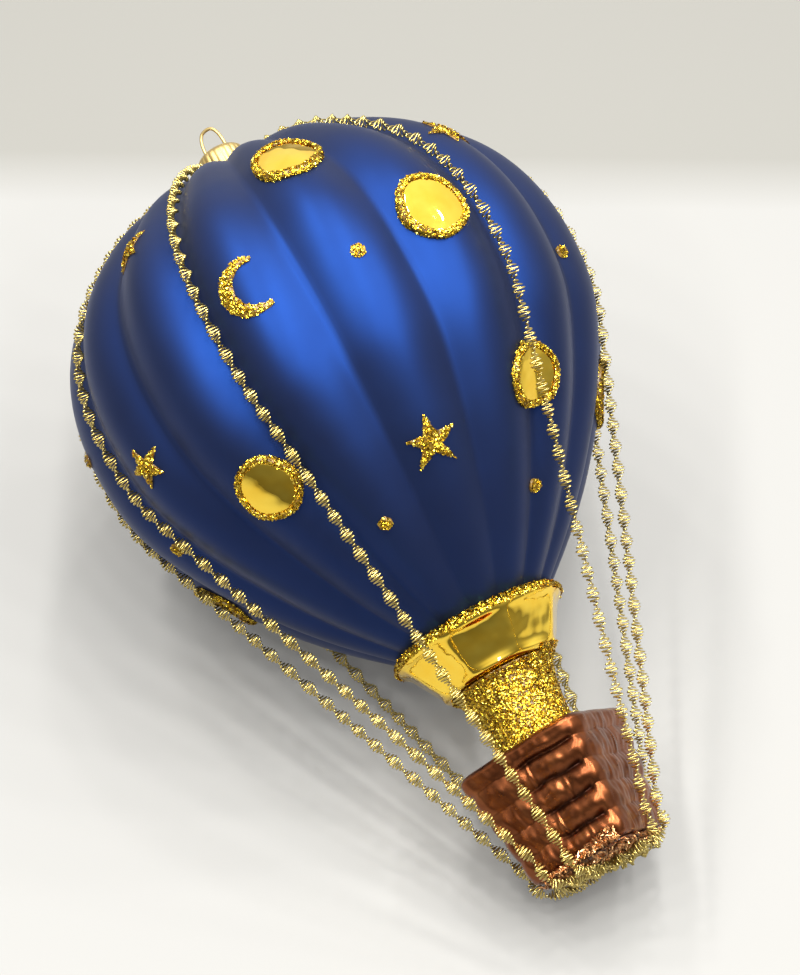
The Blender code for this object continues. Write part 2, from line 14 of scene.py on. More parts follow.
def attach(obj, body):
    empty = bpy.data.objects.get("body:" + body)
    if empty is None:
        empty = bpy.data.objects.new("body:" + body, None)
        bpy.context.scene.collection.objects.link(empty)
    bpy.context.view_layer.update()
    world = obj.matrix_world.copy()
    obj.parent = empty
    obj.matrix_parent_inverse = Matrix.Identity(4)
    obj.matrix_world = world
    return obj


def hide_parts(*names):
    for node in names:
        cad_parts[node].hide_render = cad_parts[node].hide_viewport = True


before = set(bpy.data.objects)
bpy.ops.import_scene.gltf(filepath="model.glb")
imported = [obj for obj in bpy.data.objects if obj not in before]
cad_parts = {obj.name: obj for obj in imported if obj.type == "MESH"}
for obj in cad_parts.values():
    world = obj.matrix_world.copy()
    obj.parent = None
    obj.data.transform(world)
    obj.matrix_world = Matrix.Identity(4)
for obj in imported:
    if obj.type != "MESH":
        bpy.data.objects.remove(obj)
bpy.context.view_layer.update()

MM = 0.001
SEED = 7

# Camera: a pinhole fitted to the outline in the photograph
PIVOT = (0.0, 0.0, -83.4)  # point of the axis at the picture's middle
CAMERA_DISTANCE = 659.6
CAMERA_AZIMUTH, CAMERA_ELEVATION = 22.5, -14.0
CAMERA_LEAN = 28.6  # the axis leans this far left of upright in the picture
LENS, SENSOR = 125.5, 36.0
CLIP_NEAR, CLIP_FAR = 0.01, 50.0  # metres

# Table, in metres: its tone steps down a little behind the ornament
TABLE_AZIMUTH, TABLE_TILT = 41.5, 20.0  # the side of the ornament that faces up from the table
TABLE_REACH = 4.0  # half its width
TABLE_CLEAR = 0.0003  # gap under the ornament
TABLE_TONE, FAR_TONE = (0.182, 0.180, 0.173), (0.129, 0.126, 0.113)
TONE_STEP = 0.122  # from the ornament's middle to the step in tone
STEP_BEFORE, STEP_AFTER = 0.006, 0.010  # over which the tone changes
TABLE_ROUGHNESS = 0.7
TABLE_GLOW = 0.08  # painted light: the table glows a little, standing in for light that a white room would throw into the shadows

# Room, in metres: rows of lamps over the table and a plain ceiling
WHITE = (1.0, 0.99, 0.97)  # colour of all the light
LAMP_ROWS = (-0.37, 0.04, 0.45)
LAMPS_PER_ROW, LAMP_SPAN, LAMP_AHEAD, LAMP_HEIGHT = 6, 0.9, -0.06, 0.8
LAMP_SIZE, LAMP_POWER = 0.07, 1.85
# rise of a direction over the table and towards its far side, brightness there
ROOM_TONES = [(-0.6, 0.14), (-0.1, 0.24), (0.15, 0.4), (0.4, 0.85), (0.6, 1.1), (1.14, 1.35)]
ROOM_LEAN = 0.55  # how much the far side counts

# Envelope: a blown shell with rounded lobes
LOBES = 16
LOBE_TURN = 2.0
COLUMNS_PER_LOBE = 20
VALLEY_ROUND = 0.10  # rounding of a valley, as a share of a lobe's height
GLASS_WALL = 1.0
LIP_WALL = 1.2  # thickness of the glass at the envelope's foot
# height, radius over the lobe crests, depth of the valleys
ENVELOPE_PROFILE = [
    (-13.2, 5.0, 0.0), (-12.6, 8.0, 0.3), (-12.0, 11.5, 0.8), (-12.2, 16.0, 1.1), (-14.1, 22.9, 1.6),
    (-18.1, 31.1, 2.1), (-25.3, 40.6, 2.5), (-33.4, 47.0, 2.6), (-43.4, 51.0, 2.6), (-55.4, 52.4, 2.6),
    (-69.4, 50.6, 2.5), (-83.4, 43.9, 2.2), (-95.4, 35.3, 1.8), (-105.4, 26.3, 1.2), (-114.6, 16.2, 0.6),
]
PROFILE_STEPS = 10  # rows of the mesh between two of these rows
SHOULDER_ROW = 4  # from this row on, the height only falls
INSIDE_STRIDE = 4  # the inside is made from every fourth row of the mesh
LEAN, LEAN_AZIMUTH = 0.9, 112.5  # the blown shell sags to one side, most at its middle
PIKE_TOP, PIKE_RADIUS, PIKE_BORE = -6.8, 3.9, 3.1
PIKE_EDGE = 0.25  # chamfer at the pike's mouth
PIKE_FOOT, PIKE_FILLET = 0.9, 0.3  # where the pike meets the shoulder

# Neck band and throat
BAND_PANELS = 8
BAND_COLUMNS, THROAT_COLUMNS = 256, 96
BAND_STEPS = 5
# height, outer radius over the ribs, how flat the panels are
BAND_OUTSIDE = [
    (-114.9, 16.4, 0.0), (-115.3, 17.3, 0.0), (-116.0, 17.7, 0.0), (-116.8, 17.4, 0.1),
    (-117.7, 16.8, 0.7), (-119.6, 15.7, 1.0), (-121.8, 14.4, 1.0), (-123.4, 13.4, 1.0),
    (-124.4, 12.8, 0.6), (-125.1, 12.3, 0.1), (-125.6, 11.6, 0.0), (-125.8, 10.9, 0.0),
    (-126.3, 10.0, 0.0), (-127.2, 9.2, 0.0), (-128.6, 8.6, 0.0),
]
RIB_ROUND = 0.018  # rounding of a rib, as a share of the band's radius
BAND_INSIDE = [
    (-128.6, 8.0), (-126.4, 8.6), (-124.6, 10.2), (-121.6, 12.4), (-117.2, 14.8), (-114.9, 14.9),
]
# glitter along the band's upper edge and a patch of it at the band's foot
BAND_TRIM = [(-114.6, 16.7), (-115.0, 17.4), (-115.6, 17.8), (-116.4, 17.8)]
BAND_PATCH = [(-125.0, 12.5), (-125.7, 11.8), (-126.2, 10.6)]
PATCH_SPAN = (72.0, 104.0)  # azimuths
THROAT_OUTSIDE = [
    (-126.0, 11.0), (-126.5, 10.3), (-127.4, 9.6), (-129.0, 9.1), (-131.5, 8.5), (-134.5, 8.0),
    (-138.0, 7.8), (-140.0, 8.2),
]
THROAT_INSIDE = [(-140.0, 7.3), (-134.5, 7.1), (-128.8, 7.7)]
# density of the flakes as a share of the usual one, height over which they are strewn
TRIM_FLAKES, PATCH_FLAKES, THROAT_FLAKES = (1.6, 0.35), (1.4, 0.3), (1.6, 0.3)

# Basket
BASKET_TOP, BASKET_FLOOR = -140.3, -164.8
BASKET_HALF_TOP, BASKET_HALF_FLOOR = 14.2, 11.2
BASKET_MOUTH = 7.1
BASKET_WALL = 1.1
BASKET_RIM = 4.2
BAR_ROWS = 4
BASKET_COLUMNS, BASKET_RINGS = 352, 110
SQUARENESS = 7.0  # exponent of the rounded square
# how far in and how far down or up, at the rim's edge, at the floor's and inside
RIM_EDGE = [(3.4, 0.0), (1.5, 0.12), (0.7, 0.45), (0.25, 0.95)]
FLOOR_EDGE = [(0.7, 0.1), (2.0, 0.0)]
RIM_WAVE, LUMPS, FINE_LUMPS = 0.12, 0.14, 0.07  # unevenness of the blown form
# weave: depths are shares of BAR_DEPTH, and places on a face run from -1 to 1
BAR_DEPTH = 1.5
SHALLOW, DEEPER = 0.42, 0.58  # depth of the grooves, and what the front face adds
STAKE_MIDDLE, STAKE_SIDE = 0.06, 0.5
KNOB = 0.96  # height of the stake's knob in a row
# relief values for what has no weave, used only to paint shade into the copper's colour: lower is
# darker, so the inside and the mouth get painted shade
MOUTH_SHADE_RELIEF, RIM_SHADE_RELIEF, FLOOR_SHADE_RELIEF, INSIDE_SHADE_RELIEF = 0.6, 0.95, 0.7, 0.4

# Coarse glitter under the basket's floor
BASE_HALF = 10.2
BASE_COLUMNS = 64
BASE_ROWS = [(0.5, 0.0), (0.2, 0.3), (0.5, 0.6), (1.4, 0.8)]  # how far in, how far down
BASE_EDGE = 1.4  # width of the raised edge
BASE_FLAKES, CLUMP_FLAKES = 3000, 700
CLUMP_HEIGHT = 2.4  # how far it climbs the front face
CLUMP_SPAN = (-0.7, 0.86)  # along the front face
COARSE_FLAKE, COARSE_TILT, COARSE_STRETCH = 0.42, 0.8, 1.7

# Cap and loop
CAP_CRIMPS, CAP_COLUMNS, CAP_STEPS = 24, 192, 5
CAP_WALL, CAP_DISC = 0.3, 4.5  # thickness of the metal, radius of the cap's top
CRIMP_SAG = 0.3  # how much lower a crimp lies, as a share of its depth
# a low dome: height, radius, depth of the crimps
CAP_ROWS = [
    (-4.45, 0.5, 0.0), (-4.52, 1.6, 0.02), (-4.68, 3.0, 0.05), (-5.3, 4.2, 0.08), (-6.3, 4.9, 0.12),
    (-9.0, 5.1, 0.24), (-9.9, 5.4, 0.3),
]
WIRE, LOOP_SIDES = 0.35, 14
# half width and height of the loop's centre line, from the leg's end to the top
LOOP_HALF = [
    (2.40, -20.5), (2.40, -17.5), (2.40, -14.5), (2.40, -11.5), (2.40, -8.5), (2.40, -6.3),
    (2.40, -4.6), (2.36, -3.3), (2.24, -2.2), (2.02, -1.3), (1.68, -0.55), (1.22, 0.02),
    (0.64, 0.28), (0.0, 0.35),
]

# Crinkled wire: a flattened coil, twisted along its length
CRINKLE_PITCH = 0.66  # from one turn of the coil to the next
CRINKLE_HALF = 1.15  # half the flattened coil's width
CRINKLE_FLAT = 0.26  # half its thickness
CRINKLE_WIRE = 0.155  # radius of the wire itself
CRINKLE_POINTS, CRINKLE_SIDES = 12, 5  # along one turn of the coil, around the wire
CRINKLE_TWIST = 4.5  # length of half a twist
TWIST_WAVE, TWIST_RATE = 0.35, 0.23  # unevenness of the twist, in radians, and its rate
COIL_DRIFT = 0.010  # random drift of the coil from point to point, in radians
STRAND_RIDE = 1.7  # a strand's middle over the valley that it lies in
STRAND_START, STRAND_STEP = 2.8, 2.0  # arc where it leaves the tie, spacing of its points
DRIFT_POWER = 4  # it changes its azimuth mostly where it leaves the envelope
FREE_POINTS = 14  # from the envelope to the basket's foot
STRAND_FOOT = -161.8
# name after strand_, azimuth where it starts and where it leaves the envelope, extra stand-off,
# foot x, foot y, twist at the start in degrees, pitch of the coil
STRANDS = [
    ("front", 3.0, 3.6, 0.4, -0.7, -13.2, 0, 0.66),
    ("right_front", 70.0, 65.0, 2.0, 13.2, -1.8, 60, 0.88),
    ("right_back", 112.3, 112.3, 0.0, 13.2, 4.4, 20, 0.66),
    ("back_right", 137.0, 137.0, 0.0, 7.5, 13.2, 100, 0.72),
    ("back", 182.0, 182.0, 0.0, 0.7, 13.2, 45, 0.66),
    ("left_back", 249.5, 249.5, 0.0, -13.2, 4.6, 130, 0.66),
    ("left_front", 294.5, 294.5, 0.0, -13.2, -4.8, 80, 0.66),
    ("front_left", 318.0, 319.0, 0.0, -6.6, -13.2, 150, 0.66),
]
BUNDLE_HEIGHT = -167.2  # where the strands cross under the basket
# under the basket's edge: share of the foot's distance from the axis, height
UNDER_FLOOR = [(1.0, -163.6), (0.97, -165.2), (0.90, -166.4), (0.76, -167.1), (0.52, BUNDLE_HEIGHT)]
BUNDLE_REACH, BUNDLE_POINTS = 0.6, 9  # share of the feet's distance, points of a crossing
# strands that meet under the floor, height of their crossing over BUNDLE_HEIGHT
CROSSINGS = [
    ("front", "back", 0.15), ("right_front", "left_front", -0.1),
    ("right_back", "left_back", 0.1), ("back_right", "front_left", -0.15),
]
# the wire wound round the pike
TIE_TURNS, TIE_POINTS, TIE_RADIUS, TIE_TOP, TIE_DROP, TIE_HALF = 2.6, 80, 5.15, -10.8, 0.6, 0.62

# Windows and glitter ornaments
WINDOW_RIM = 1.2  # width
WINDOW_LIFT, RIM_LIFT = 0.55, 0.34  # the mirror over the glass, the rim over the mirror
WINDOW_FLAT = 0.45  # 0 follows the glass and 1 is flat
WINDOW_COLUMNS = 72
MIRROR_RINGS = (0.06, 0.2, 0.4, 0.6, 0.8, 0.95, 1.03)  # shares of the mirror's radius
MIRROR_CROWN = 0.2  # how much higher its middle lies
# azimuth, height, radius
WINDOWS = [
    (36.7, -27.6, 6.9), (57.0, -49.9, 7.1), (69.2, -84.3, 6.3), (-7.0, -81.5, 6.4), (-78.2, -85.6, 6.9),
    (125.2, -83.6, 6.9), (148.2, -40.0, 6.9), (171.0, -76.0, 6.9), (215.8, -50.0, 6.9),
    (236.0, -86.0, 6.9), (260.8, -36.0, 6.9),
]
STAR_WAIST = 0.38  # inner radius as a share of the outer
# azimuth, height, turn in degrees, outer radius
STARS = [
    (-13.5, -26.0, 12.0, 5.2), (-29.5, -64.6, 6.0, 4.9), (34.4, -88.6, -4.0, 5.6),
    (82.0, -32.0, 10.0, 5.6), (126.0, -58.0, 0.0, 5.6), (193.2, -30.0, -8.0, 5.6),
    (215.0, -82.0, 5.0, 5.6), (260.0, -68.0, -6.0, 5.6),
]
# the glue under a star: share of the outline, lift
STAR_PAD = [(0.15, 0.5), (0.5, 0.45), (0.85, 0.3), (0.97, 0.15), (0.97, 0.02), (0.15, 0.02)]
CRESCENT_RADIUS, CRESCENT_WIDTH, CRESCENT_SWEEP, CRESCENT_SHIFT = 5.9, 3.0, 118.0, 1.2
CRESCENT_POINTS, CRESCENT_TIP, CRESCENT_WOBBLE = 25, 0.22, 0.12
# azimuth, height
CRESCENTS = [(12.9, -49.5), (170.8, -48.0), (283.0, -50.0)]
DOT_RADIUS, DOT_POINTS = 1.5, 16
# azimuth, height
DOTS = [
    (37.0, -53.3), (12.6, -96.5), (70.4, -101.2), (94.5, -62.0), (-47.5, -77.5),
    (146.0, -70.0), (192.0, -60.0), (236.0, -60.0), (282.0, -66.0), (305.0, -52.0),
]
PAD_LOW = 0.02  # underside of the glue over the glass
FLAKE_LIFT = 0.18  # of the flakes at an ornament's edge
# thickness of the glue, rise of the flakes to the middle, their spread in height
STAR_RELIEF, CRESCENT_RELIEF, DOT_RELIEF = (0.4, 0.25), (0.9, 0.5, 0.27), (0.8, 0.44, 0.24)
FLAKE = 0.29  # half size of a glitter flake
FLAKES_PER_MM2 = 11.0

CURVE_STEPS = 6  # points between two rows of a curve, where nothing else is said


# Small maths

def unit(v):
    return v / np.linalg.norm(v, axis=-1, keepdims=True)


def at(azimuth, radius, height):
    """Points from azimuths in degrees, radii and heights."""
    angle = np.radians(azimuth)
    radius, height = np.broadcast_arrays(radius, height)
    return np.stack(np.broadcast_arrays(radius * np.sin(angle), -radius * np.cos(angle), height), -1)


def polar(reach, angle):
    """x and y from reaches and angles in radians."""
    return np.array([reach * np.cos(angle), reach * np.sin(angle)])


def round_ring(columns):
    """Azimuths of a ring's points."""
    return 360.0 * np.arange(columns) / columns


def smooth_rows(rows, steps):
    """Catmull-Rom curve through rows of numbers, with steps intervals between two rows."""
    rows = np.asarray(rows, float)
    padded = np.vstack([rows[0], rows, rows[-1]])
    t = (np.arange(steps) / steps)[:, None]
    out = []
    for p, q, r, s in zip(padded, padded[1:], padded[2:], padded[3:]):
        out.append(0.5 * (2 * q + (r - p) * t + (2 * p - 5 * q + 4 * r - s) * t ** 2
                          + (3 * q - p - 3 * r + s) * t ** 3))
    out.append(rows[-1:])
    return np.vstack(out)


def smoothstep(low, high, x):
    t = np.clip((x - low) / (high - low), 0.0, 1.0)
    return t * t * (3 - 2 * t)


def lobe(azimuth):
    """0 in a valley and 1 on a crest, with the valley slightly rounded."""
    wave = np.sin(np.radians((azimuth - LOBE_TURN) * LOBES / 2))
    e = VALLEY_ROUND
    return (np.sqrt(wave ** 2 + e * e) - e) / (math.sqrt(1 + e * e) - e)


def leaning(azimuth, radius, height):
    """Points of the envelope, which leans to one side."""
    top, low = ENVELOPE_PROFILE[0][0], ENVELOPE_PROFILE[-1][0]
    share = np.clip((top - height) / (top - low), 0.0, 1.0)
    shift = np.asarray(LEAN * np.sin(np.pi * share))[..., None] * at(LEAN_AZIMUTH, 1.0, 0.0)
    return at(azimuth, radius, height) + shift


class Envelope:
    """The envelope's outer surface, by azimuth and by arc length down its profile."""

    def __init__(self, steps):
        rows = smooth_rows(ENVELOPE_PROFILE, steps)
        self.z, self.r, self.depth = rows.T
        self.arc = np.concatenate([[0.0], np.cumsum(np.hypot(np.diff(self.r), np.diff(self.z)))])
        along = unit(np.stack([np.gradient(self.r), np.gradient(self.z)], -1))
        self.nr, self.nz = -along[:, 1], along[:, 0]
        self.shoulder = SHOULDER_ROW * steps

    def read(self, arc, name):
        return np.interp(arc, self.arc, getattr(self, name))

    def arc_at(self, height):
        """Arc length where the profile passes a height, below the shoulder."""
        below = slice(self.shoulder, None)
        return float(np.interp(-height, -self.z[below], self.arc[below]))

    def place(self, azimuth, arc, lift):
        """Points on the lobed surface, lifted along the profile's normal."""
        out = lift - self.read(arc, "depth") * (1 - lobe(azimuth))
        return leaning(azimuth, self.read(arc, "r") + self.read(arc, "nr") * out,
                       self.read(arc, "z") + self.read(arc, "nz") * out)

    def normal(self, azimuth, arc):
        """Unit normals of the lobed surface."""
        step = 0.4
        turn = np.degrees(step / self.read(arc, "r"))
        across = self.place(azimuth + turn, arc, 0.0) - self.place(azimuth - turn, arc, 0.0)
        down = self.place(azimuth, arc + step, 0.0) - self.place(azimuth, arc - step, 0.0)
        return unit(np.cross(down, across))


surface = Envelope(PROFILE_STEPS)


# Meshes

def loft(rings, closed=False):
    """Skin through rings (rings, columns, 3), faces out; the ends get fans unless it is closed."""
    rings = np.asarray(rings)
    count, columns = rings.shape[:2]
    index = np.arange(count * columns).reshape(count, columns)
    low = index if closed else index[:-1]
    high = np.roll(index, -1, axis=0) if closed else index[1:]
    quads = np.stack([low, np.roll(low, -1, 1), np.roll(high, -1, 1), high], -1).reshape(-1, 4)
    vertices, faces = rings.reshape(-1, 3), [quads]
    if not closed:
        first, last = index[0], index[-1]
        hub = np.full(columns, len(vertices))
        faces.append(np.vstack([np.stack([hub, np.roll(first, -1), first], -1),
                                np.stack([hub + 1, last, np.roll(last, -1)], -1)]))
        vertices = np.vstack([vertices, rings[0].mean(0), rings[-1].mean(0)])
    if volume(vertices - vertices.mean(0), faces) < 0:
        faces = [group[:, ::-1] for group in faces]
    return vertices, faces


def volume(vertices, faces):
    """Signed volume of a closed skin; positive when its faces look out."""
    total = 0.0
    for group in faces:
        corner = vertices[group]
        for k in range(1, group.shape[1] - 1):
            total += np.einsum("ij,ij->i", corner[:, 0], np.cross(corner[:, k], corner[:, k + 1])).sum()
    return total


def add_object(name, data):
    node = bpy.data.objects.new(name, data)
    bpy.context.scene.collection.objects.link(node)
    return node


def make_piece(name, parts, body, replaced=(), values=None):
    """One object from (skin, material, smooth) parts; it rides on a body and replaces CAD nodes."""
    materials = []
    points, loops, totals, slots, smooth = [], [], [], [], []
    base = 0
    for (vertices, faces), material, is_smooth in parts:
        if material not in materials:
            materials.append(material)
        points.append(vertices)
        for group in faces:
            loops.append((group + base).ravel())
            totals.append(np.full(len(group), group.shape[1]))
            slots.append(np.full(len(group), materials.index(material)))
            smooth.append(np.full(len(group), is_smooth))
        base += len(vertices)
    points, loops, totals = np.vstack(points), np.concatenate(loops), np.concatenate(totals)
    mesh = bpy.data.meshes.new(name)
    mesh.vertices.add(len(points))
    mesh.vertices.foreach_set("co", (points * MM).astype(np.float32).ravel())
    mesh.loops.add(len(loops))
    mesh.loops.foreach_set("vertex_index", loops.astype(np.int32))
    mesh.polygons.add(len(totals))
    mesh.polygons.foreach_set("loop_start", (np.cumsum(totals) - totals).astype(np.int32))
    mesh.polygons.foreach_set("material_index", np.concatenate(slots).astype(np.int32))
    mesh.polygons.foreach_set("use_smooth", np.concatenate(smooth).astype(bool))
    for material in materials:
        mesh.materials.append(material)
    # a value per point, which the copper material turns into painted shade
    if values is not None:
        layer = mesh.attributes.new("relief", "FLOAT", "POINT")
        layer.data.foreach_set("value", values.astype(np.float32))
    mesh.update(calc_edges=True)
    piece = add_object(name, mesh)
    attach(piece, body)
    if replaced:
        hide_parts(*replaced)


def chips(points, normals, rng, size=FLAKE, tilt=0.45, stretch=1.0):
    """Glitter: one closed eight-faced flake on each point, leaning at random."""
    count = len(points)
    up = unit(normals + tilt * rng.normal(size=(count, 3)))
    side = unit(np.cross(up, rng.normal(size=(count, 3))))
    across = np.cross(up, side)
    scale = size * rng.uniform(0.65, 1.25, count)
    corners = []
    for k in range(4):
        angle = math.pi / 2 * k + rng.uniform(-0.45, 0.45, count)
        reach = scale * rng.uniform(0.75, 1.1, count)
        corners.append(points + side * (stretch * reach * np.cos(angle))[:, None]
                       + across * (reach / stretch * np.sin(angle))[:, None])
    thick = (up.T * scale * 0.16).T
    vertices = np.stack(corners + [points + thick, points - thick], 1).reshape(-1, 3)
    pattern = [(k, (k + 1) % 4, 4) for k in range(4)] + [((k + 1) % 4, k, 5) for k in range(4)]
    faces = (np.arange(count) * 6)[:, None, None] + np.array(pattern)[None]
    return vertices, [faces.reshape(-1, 3)]


def frames(path):
    """Unit tangents and a side vector carried along a path without twisting."""
    along = unit(np.gradient(path, axis=0))
    side = np.cross(along[0], [0.3, 0.5, 0.81])
    sides = []
    for t in along:
        side = side - t * side.dot(t)
        side = side / np.linalg.norm(side)
        sides.append(side)
    return along, np.array(sides)


def tube(path, radius, sides):
    """A round tube along a path."""
    along, side = frames(path)
    over = np.cross(along, side)
    angle = 2 * np.pi * np.arange(sides) / sides
    ring = side[:, None] * np.cos(angle)[None, :, None] + over[:, None] * np.sin(angle)[None, :, None]
    return loft(path[:, None] + ring * radius)


def resample(path, step):
    lengths = np.concatenate([[0.0], np.cumsum(np.linalg.norm(np.diff(path, axis=0), axis=1))])
    count = max(2, int(round(lengths[-1] / step)) + 1)
    spots = np.linspace(0, lengths[-1], count)
    return spots, np.stack([np.interp(spots, lengths, path[:, k]) for k in range(3)], -1)


def crinkle(path, start_turn, pitch, rng, half=CRINKLE_HALF):
    """The crinkled wire along a path: a flat coil, twisted, with a slightly uneven pitch."""
    spots, centre = resample(smooth_rows(path, CURVE_STEPS), pitch / CRINKLE_POINTS)
    along, side = frames(centre)
    over = np.cross(along, side)
    coil = 2 * np.pi * spots / pitch + np.cumsum(rng.normal(0, COIL_DRIFT, len(spots)))
    twist = np.radians(start_turn) + np.pi * spots / CRINKLE_TWIST
    twist = twist + TWIST_WAVE * np.sin(spots * TWIST_RATE)
    wide = half * np.cos(coil)
    deep = CRINKLE_FLAT * np.sin(coil)
    x = wide * np.cos(twist) - deep * np.sin(twist)
    y = wide * np.sin(twist) + deep * np.cos(twist)
    return tube(centre + side * x[:, None] + over * y[:, None], CRINKLE_WIRE, CRINKLE_SIDES)


# Materials

def new_material(name, **inputs):
    """A material with values set on its shader's own sockets, written with _ for a space."""
    material = bpy.data.materials.new(name)
    material.use_nodes = True
    tree = material.node_tree
    shader = tree.nodes["Principled BSDF"]
    for key, value in inputs.items():
        shader.inputs[key.replace("_", " ")].default_value = value
    return material, tree, shader


def add_node(tree, kind, **values):
    """A node with values for its sockets and its settings."""
    node = tree.nodes.new(kind)
    for key, value in values.items():
        if key in node.inputs:
            node.inputs[key].default_value = value
        else:
            setattr(node, key, value)
    return node


def ramp(tree, factor, stops):
    """A colour ramp fed by a value; stops are (place, colour)."""
    node = tree.nodes.new("ShaderNodeValToRGB")
    elements = node.color_ramp.elements
    while len(elements) < len(stops):
        elements.new(0.5)
    for element, (place, colour) in zip(elements, stops):
        element.position = place
        element.color = (*colour, 1.0)
    tree.links.new(factor, node.inputs["Fac"])
    return node.outputs["Color"]


def noise(tree, scale, detail=3.0):
    """Noise over the object's own coordinates, with scale in features per metre."""
    coords = add_node(tree, "ShaderNodeTexCoord")
    node = add_node(tree, "ShaderNodeTexNoise", Scale=scale, Detail=detail, Roughness=0.5)
    tree.links.new(coords.outputs["Object"], node.inputs["Vector"])
    return node.outputs["Fac"]


def map_range(tree, value, low, high, from_low=0.3, from_high=0.7):
    ends = {"From Min": from_low, "From Max": from_high, "To Min": low, "To Max": high}
    node = add_node(tree, "ShaderNodeMapRange", **ends)
    tree.links.new(value, node.inputs["Value"])
    return node.outputs["Result"]


def reach_along(tree, coordinates, vector):
    """How far a point or a direction reaches along a vector."""
    coords = add_node(tree, "ShaderNodeTexCoord")
    node = add_node(tree, "ShaderNodeVectorMath", operation="DOT_PRODUCT")
    node.inputs[1].default_value = vector
    tree.links.new(coords.outputs[coordinates], node.inputs[0])
    return node.outputs["Value"]


def two_tones(tree, shader, tones, scale, detail=3.0):
    """An uneven base colour between two tones."""
    tone = ramp(tree, noise(tree, scale, detail), list(zip((0.3, 0.7), tones)))
    tree.links.new(tone, shader.inputs["Base Color"])


def uneven_gloss(tree, shader, low, high, scale):
    tree.links.new(map_range(tree, noise(tree, scale), low, high), shader.inputs["Roughness"])


def bump(tree, shader, scale, detail, strength, distance):
    node = add_node(tree, "ShaderNodeBump", Strength=strength, Distance=distance)
    tree.links.new(noise(tree, scale, detail), node.inputs["Height"])
    tree.links.new(node.outputs["Normal"], shader.inputs["Normal"])


def blue_lacquer():
    """Satin paint: a dim blue mirror, blurred, under a dull haze."""
    material, tree, shader = new_material("satin_blue_lacquer", Metallic=1.0,
                                          Coat_Weight=0.33, Coat_Roughness=0.9)
    two_tones(tree, shader, [(0.0020, 0.0150, 0.084), (0.0028, 0.0185, 0.098)], 60.0, 4.0)
    uneven_gloss(tree, shader, 0.44, 0.50, 90.0)
    bump(tree, shader, 5000.0, 2.0, 0.12, 0.00004)
    return material


def gold_mirror():
    material, tree, shader = new_material("gold_mirror_glass", Metallic=1.0)
    two_tones(tree, shader, [(0.97, 0.62, 0.055), (1.0, 0.71, 0.09)], 240.0, 2.0)
    uneven_gloss(tree, shader, 0.03, 0.07, 400.0)
    bump(tree, shader, 260.0, 1.0, 0.35, 0.0006)
    return material


def glitter(name, stops, roughness):
    """Flakes with a tone of their own each."""
    material, tree, shader = new_material(name, Metallic=1.0)
    flake = add_node(tree, "ShaderNodeNewGeometry")
    tree.links.new(ramp(tree, flake.outputs["Random Per Island"], stops), shader.inputs["Base Color"])
    uneven_gloss(tree, shader, roughness * 0.7, roughness * 1.3, 900.0)
    return material


def glue(name, dark, light):
    """The tinted glue that holds the flakes."""
    material, tree, shader = new_material(name)
    two_tones(tree, shader, [dark, light], 1500.0)
    uneven_gloss(tree, shader, 0.25, 0.45, 900.0)
    bump(tree, shader, 2500.0, 3.0, 0.6, 0.0001)
    return material


def copper_lacquer():
    """Mottled copper, with painted shade that darkens it in the grooves of the weave and inside the
    basket.
    """
    material, tree, shader = new_material("copper_brown_lacquer", Metallic=1.0,
                                          Coat_Weight=0.15, Coat_Roughness=0.3)
    mottled = ramp(tree, noise(tree, 220.0, 4.0), [
        (0.3, (0.125, 0.034, 0.0095)), (0.55, (0.200, 0.058, 0.017)), (0.75, (0.28, 0.094, 0.029))])
    relief = add_node(tree, "ShaderNodeAttribute", attribute_name="relief")
    # painted shade: where the relief is low, in the grooves and inside, the colour turns dark
    shade = ramp(tree, relief.outputs["Fac"], [(0.0, (0.12, 0.09, 0.08)), (0.65, (1.0, 1.0, 1.0))])
    mix = add_node(tree, "ShaderNodeMix", data_type="RGBA", blend_type="MULTIPLY", Factor=1.0)
    tree.links.new(mottled, mix.inputs[6])
    tree.links.new(shade, mix.inputs[7])
    tree.links.new(mix.outputs[2], shader.inputs["Base Color"])
    uneven_gloss(tree, shader, 0.26, 0.38, 500.0)
    bump(tree, shader, 900.0, 3.0, 0.25, 0.0002)
    return material


def bright_metal(name, tones, low, high, grain):
    """Polished thin metal with a little tarnish and a fine grain."""
    material, tree, shader = new_material(name, Metallic=1.0)
    two_tones(tree, shader, tones, 300.0, 4.0)
    uneven_gloss(tree, shader, low, high, 800.0)
    bump(tree, shader, grain, 3.0, 0.2, 0.0001)
    return material


BLUE = blue_lacquer()
MIRROR = gold_mirror()
GLITTER = glitter("gold_glitter_flakes", [
    (0.0, (0.14, 0.062, 0.002)), (0.3, (0.40, 0.235, 0.014)),
    (0.7, (0.65, 0.445, 0.035)), (1.0, (0.84, 0.66, 0.11))], 0.25)
GLUE = glue("amber_glue", (0.07, 0.034, 0.003), (0.22, 0.12, 0.010))
COPPER = copper_lacquer()
COPPER_GLITTER = glitter("copper_glitter_flakes", [
    (0.0, (0.06, 0.02, 0.008)), (0.35, (0.35, 0.14, 0.05)),
    (0.75, (0.70, 0.36, 0.15)), (1.0, (0.95, 0.62, 0.30))], 0.3)
COPPER_GLUE = glue("brown_glue", (0.03, 0.012, 0.006), (0.10, 0.04, 0.02))
CAP_METAL = bright_metal("gilt_cap_metal", [(0.40, 0.285, 0.105), (0.50, 0.38, 0.16)],
                         0.42, 0.54, 1800.0)
CRINKLE = bright_metal("pale_gold_wire", [(0.46, 0.355, 0.105), (0.61, 0.49, 0.175)],
                       0.28, 0.40, 6000.0)


# Glass

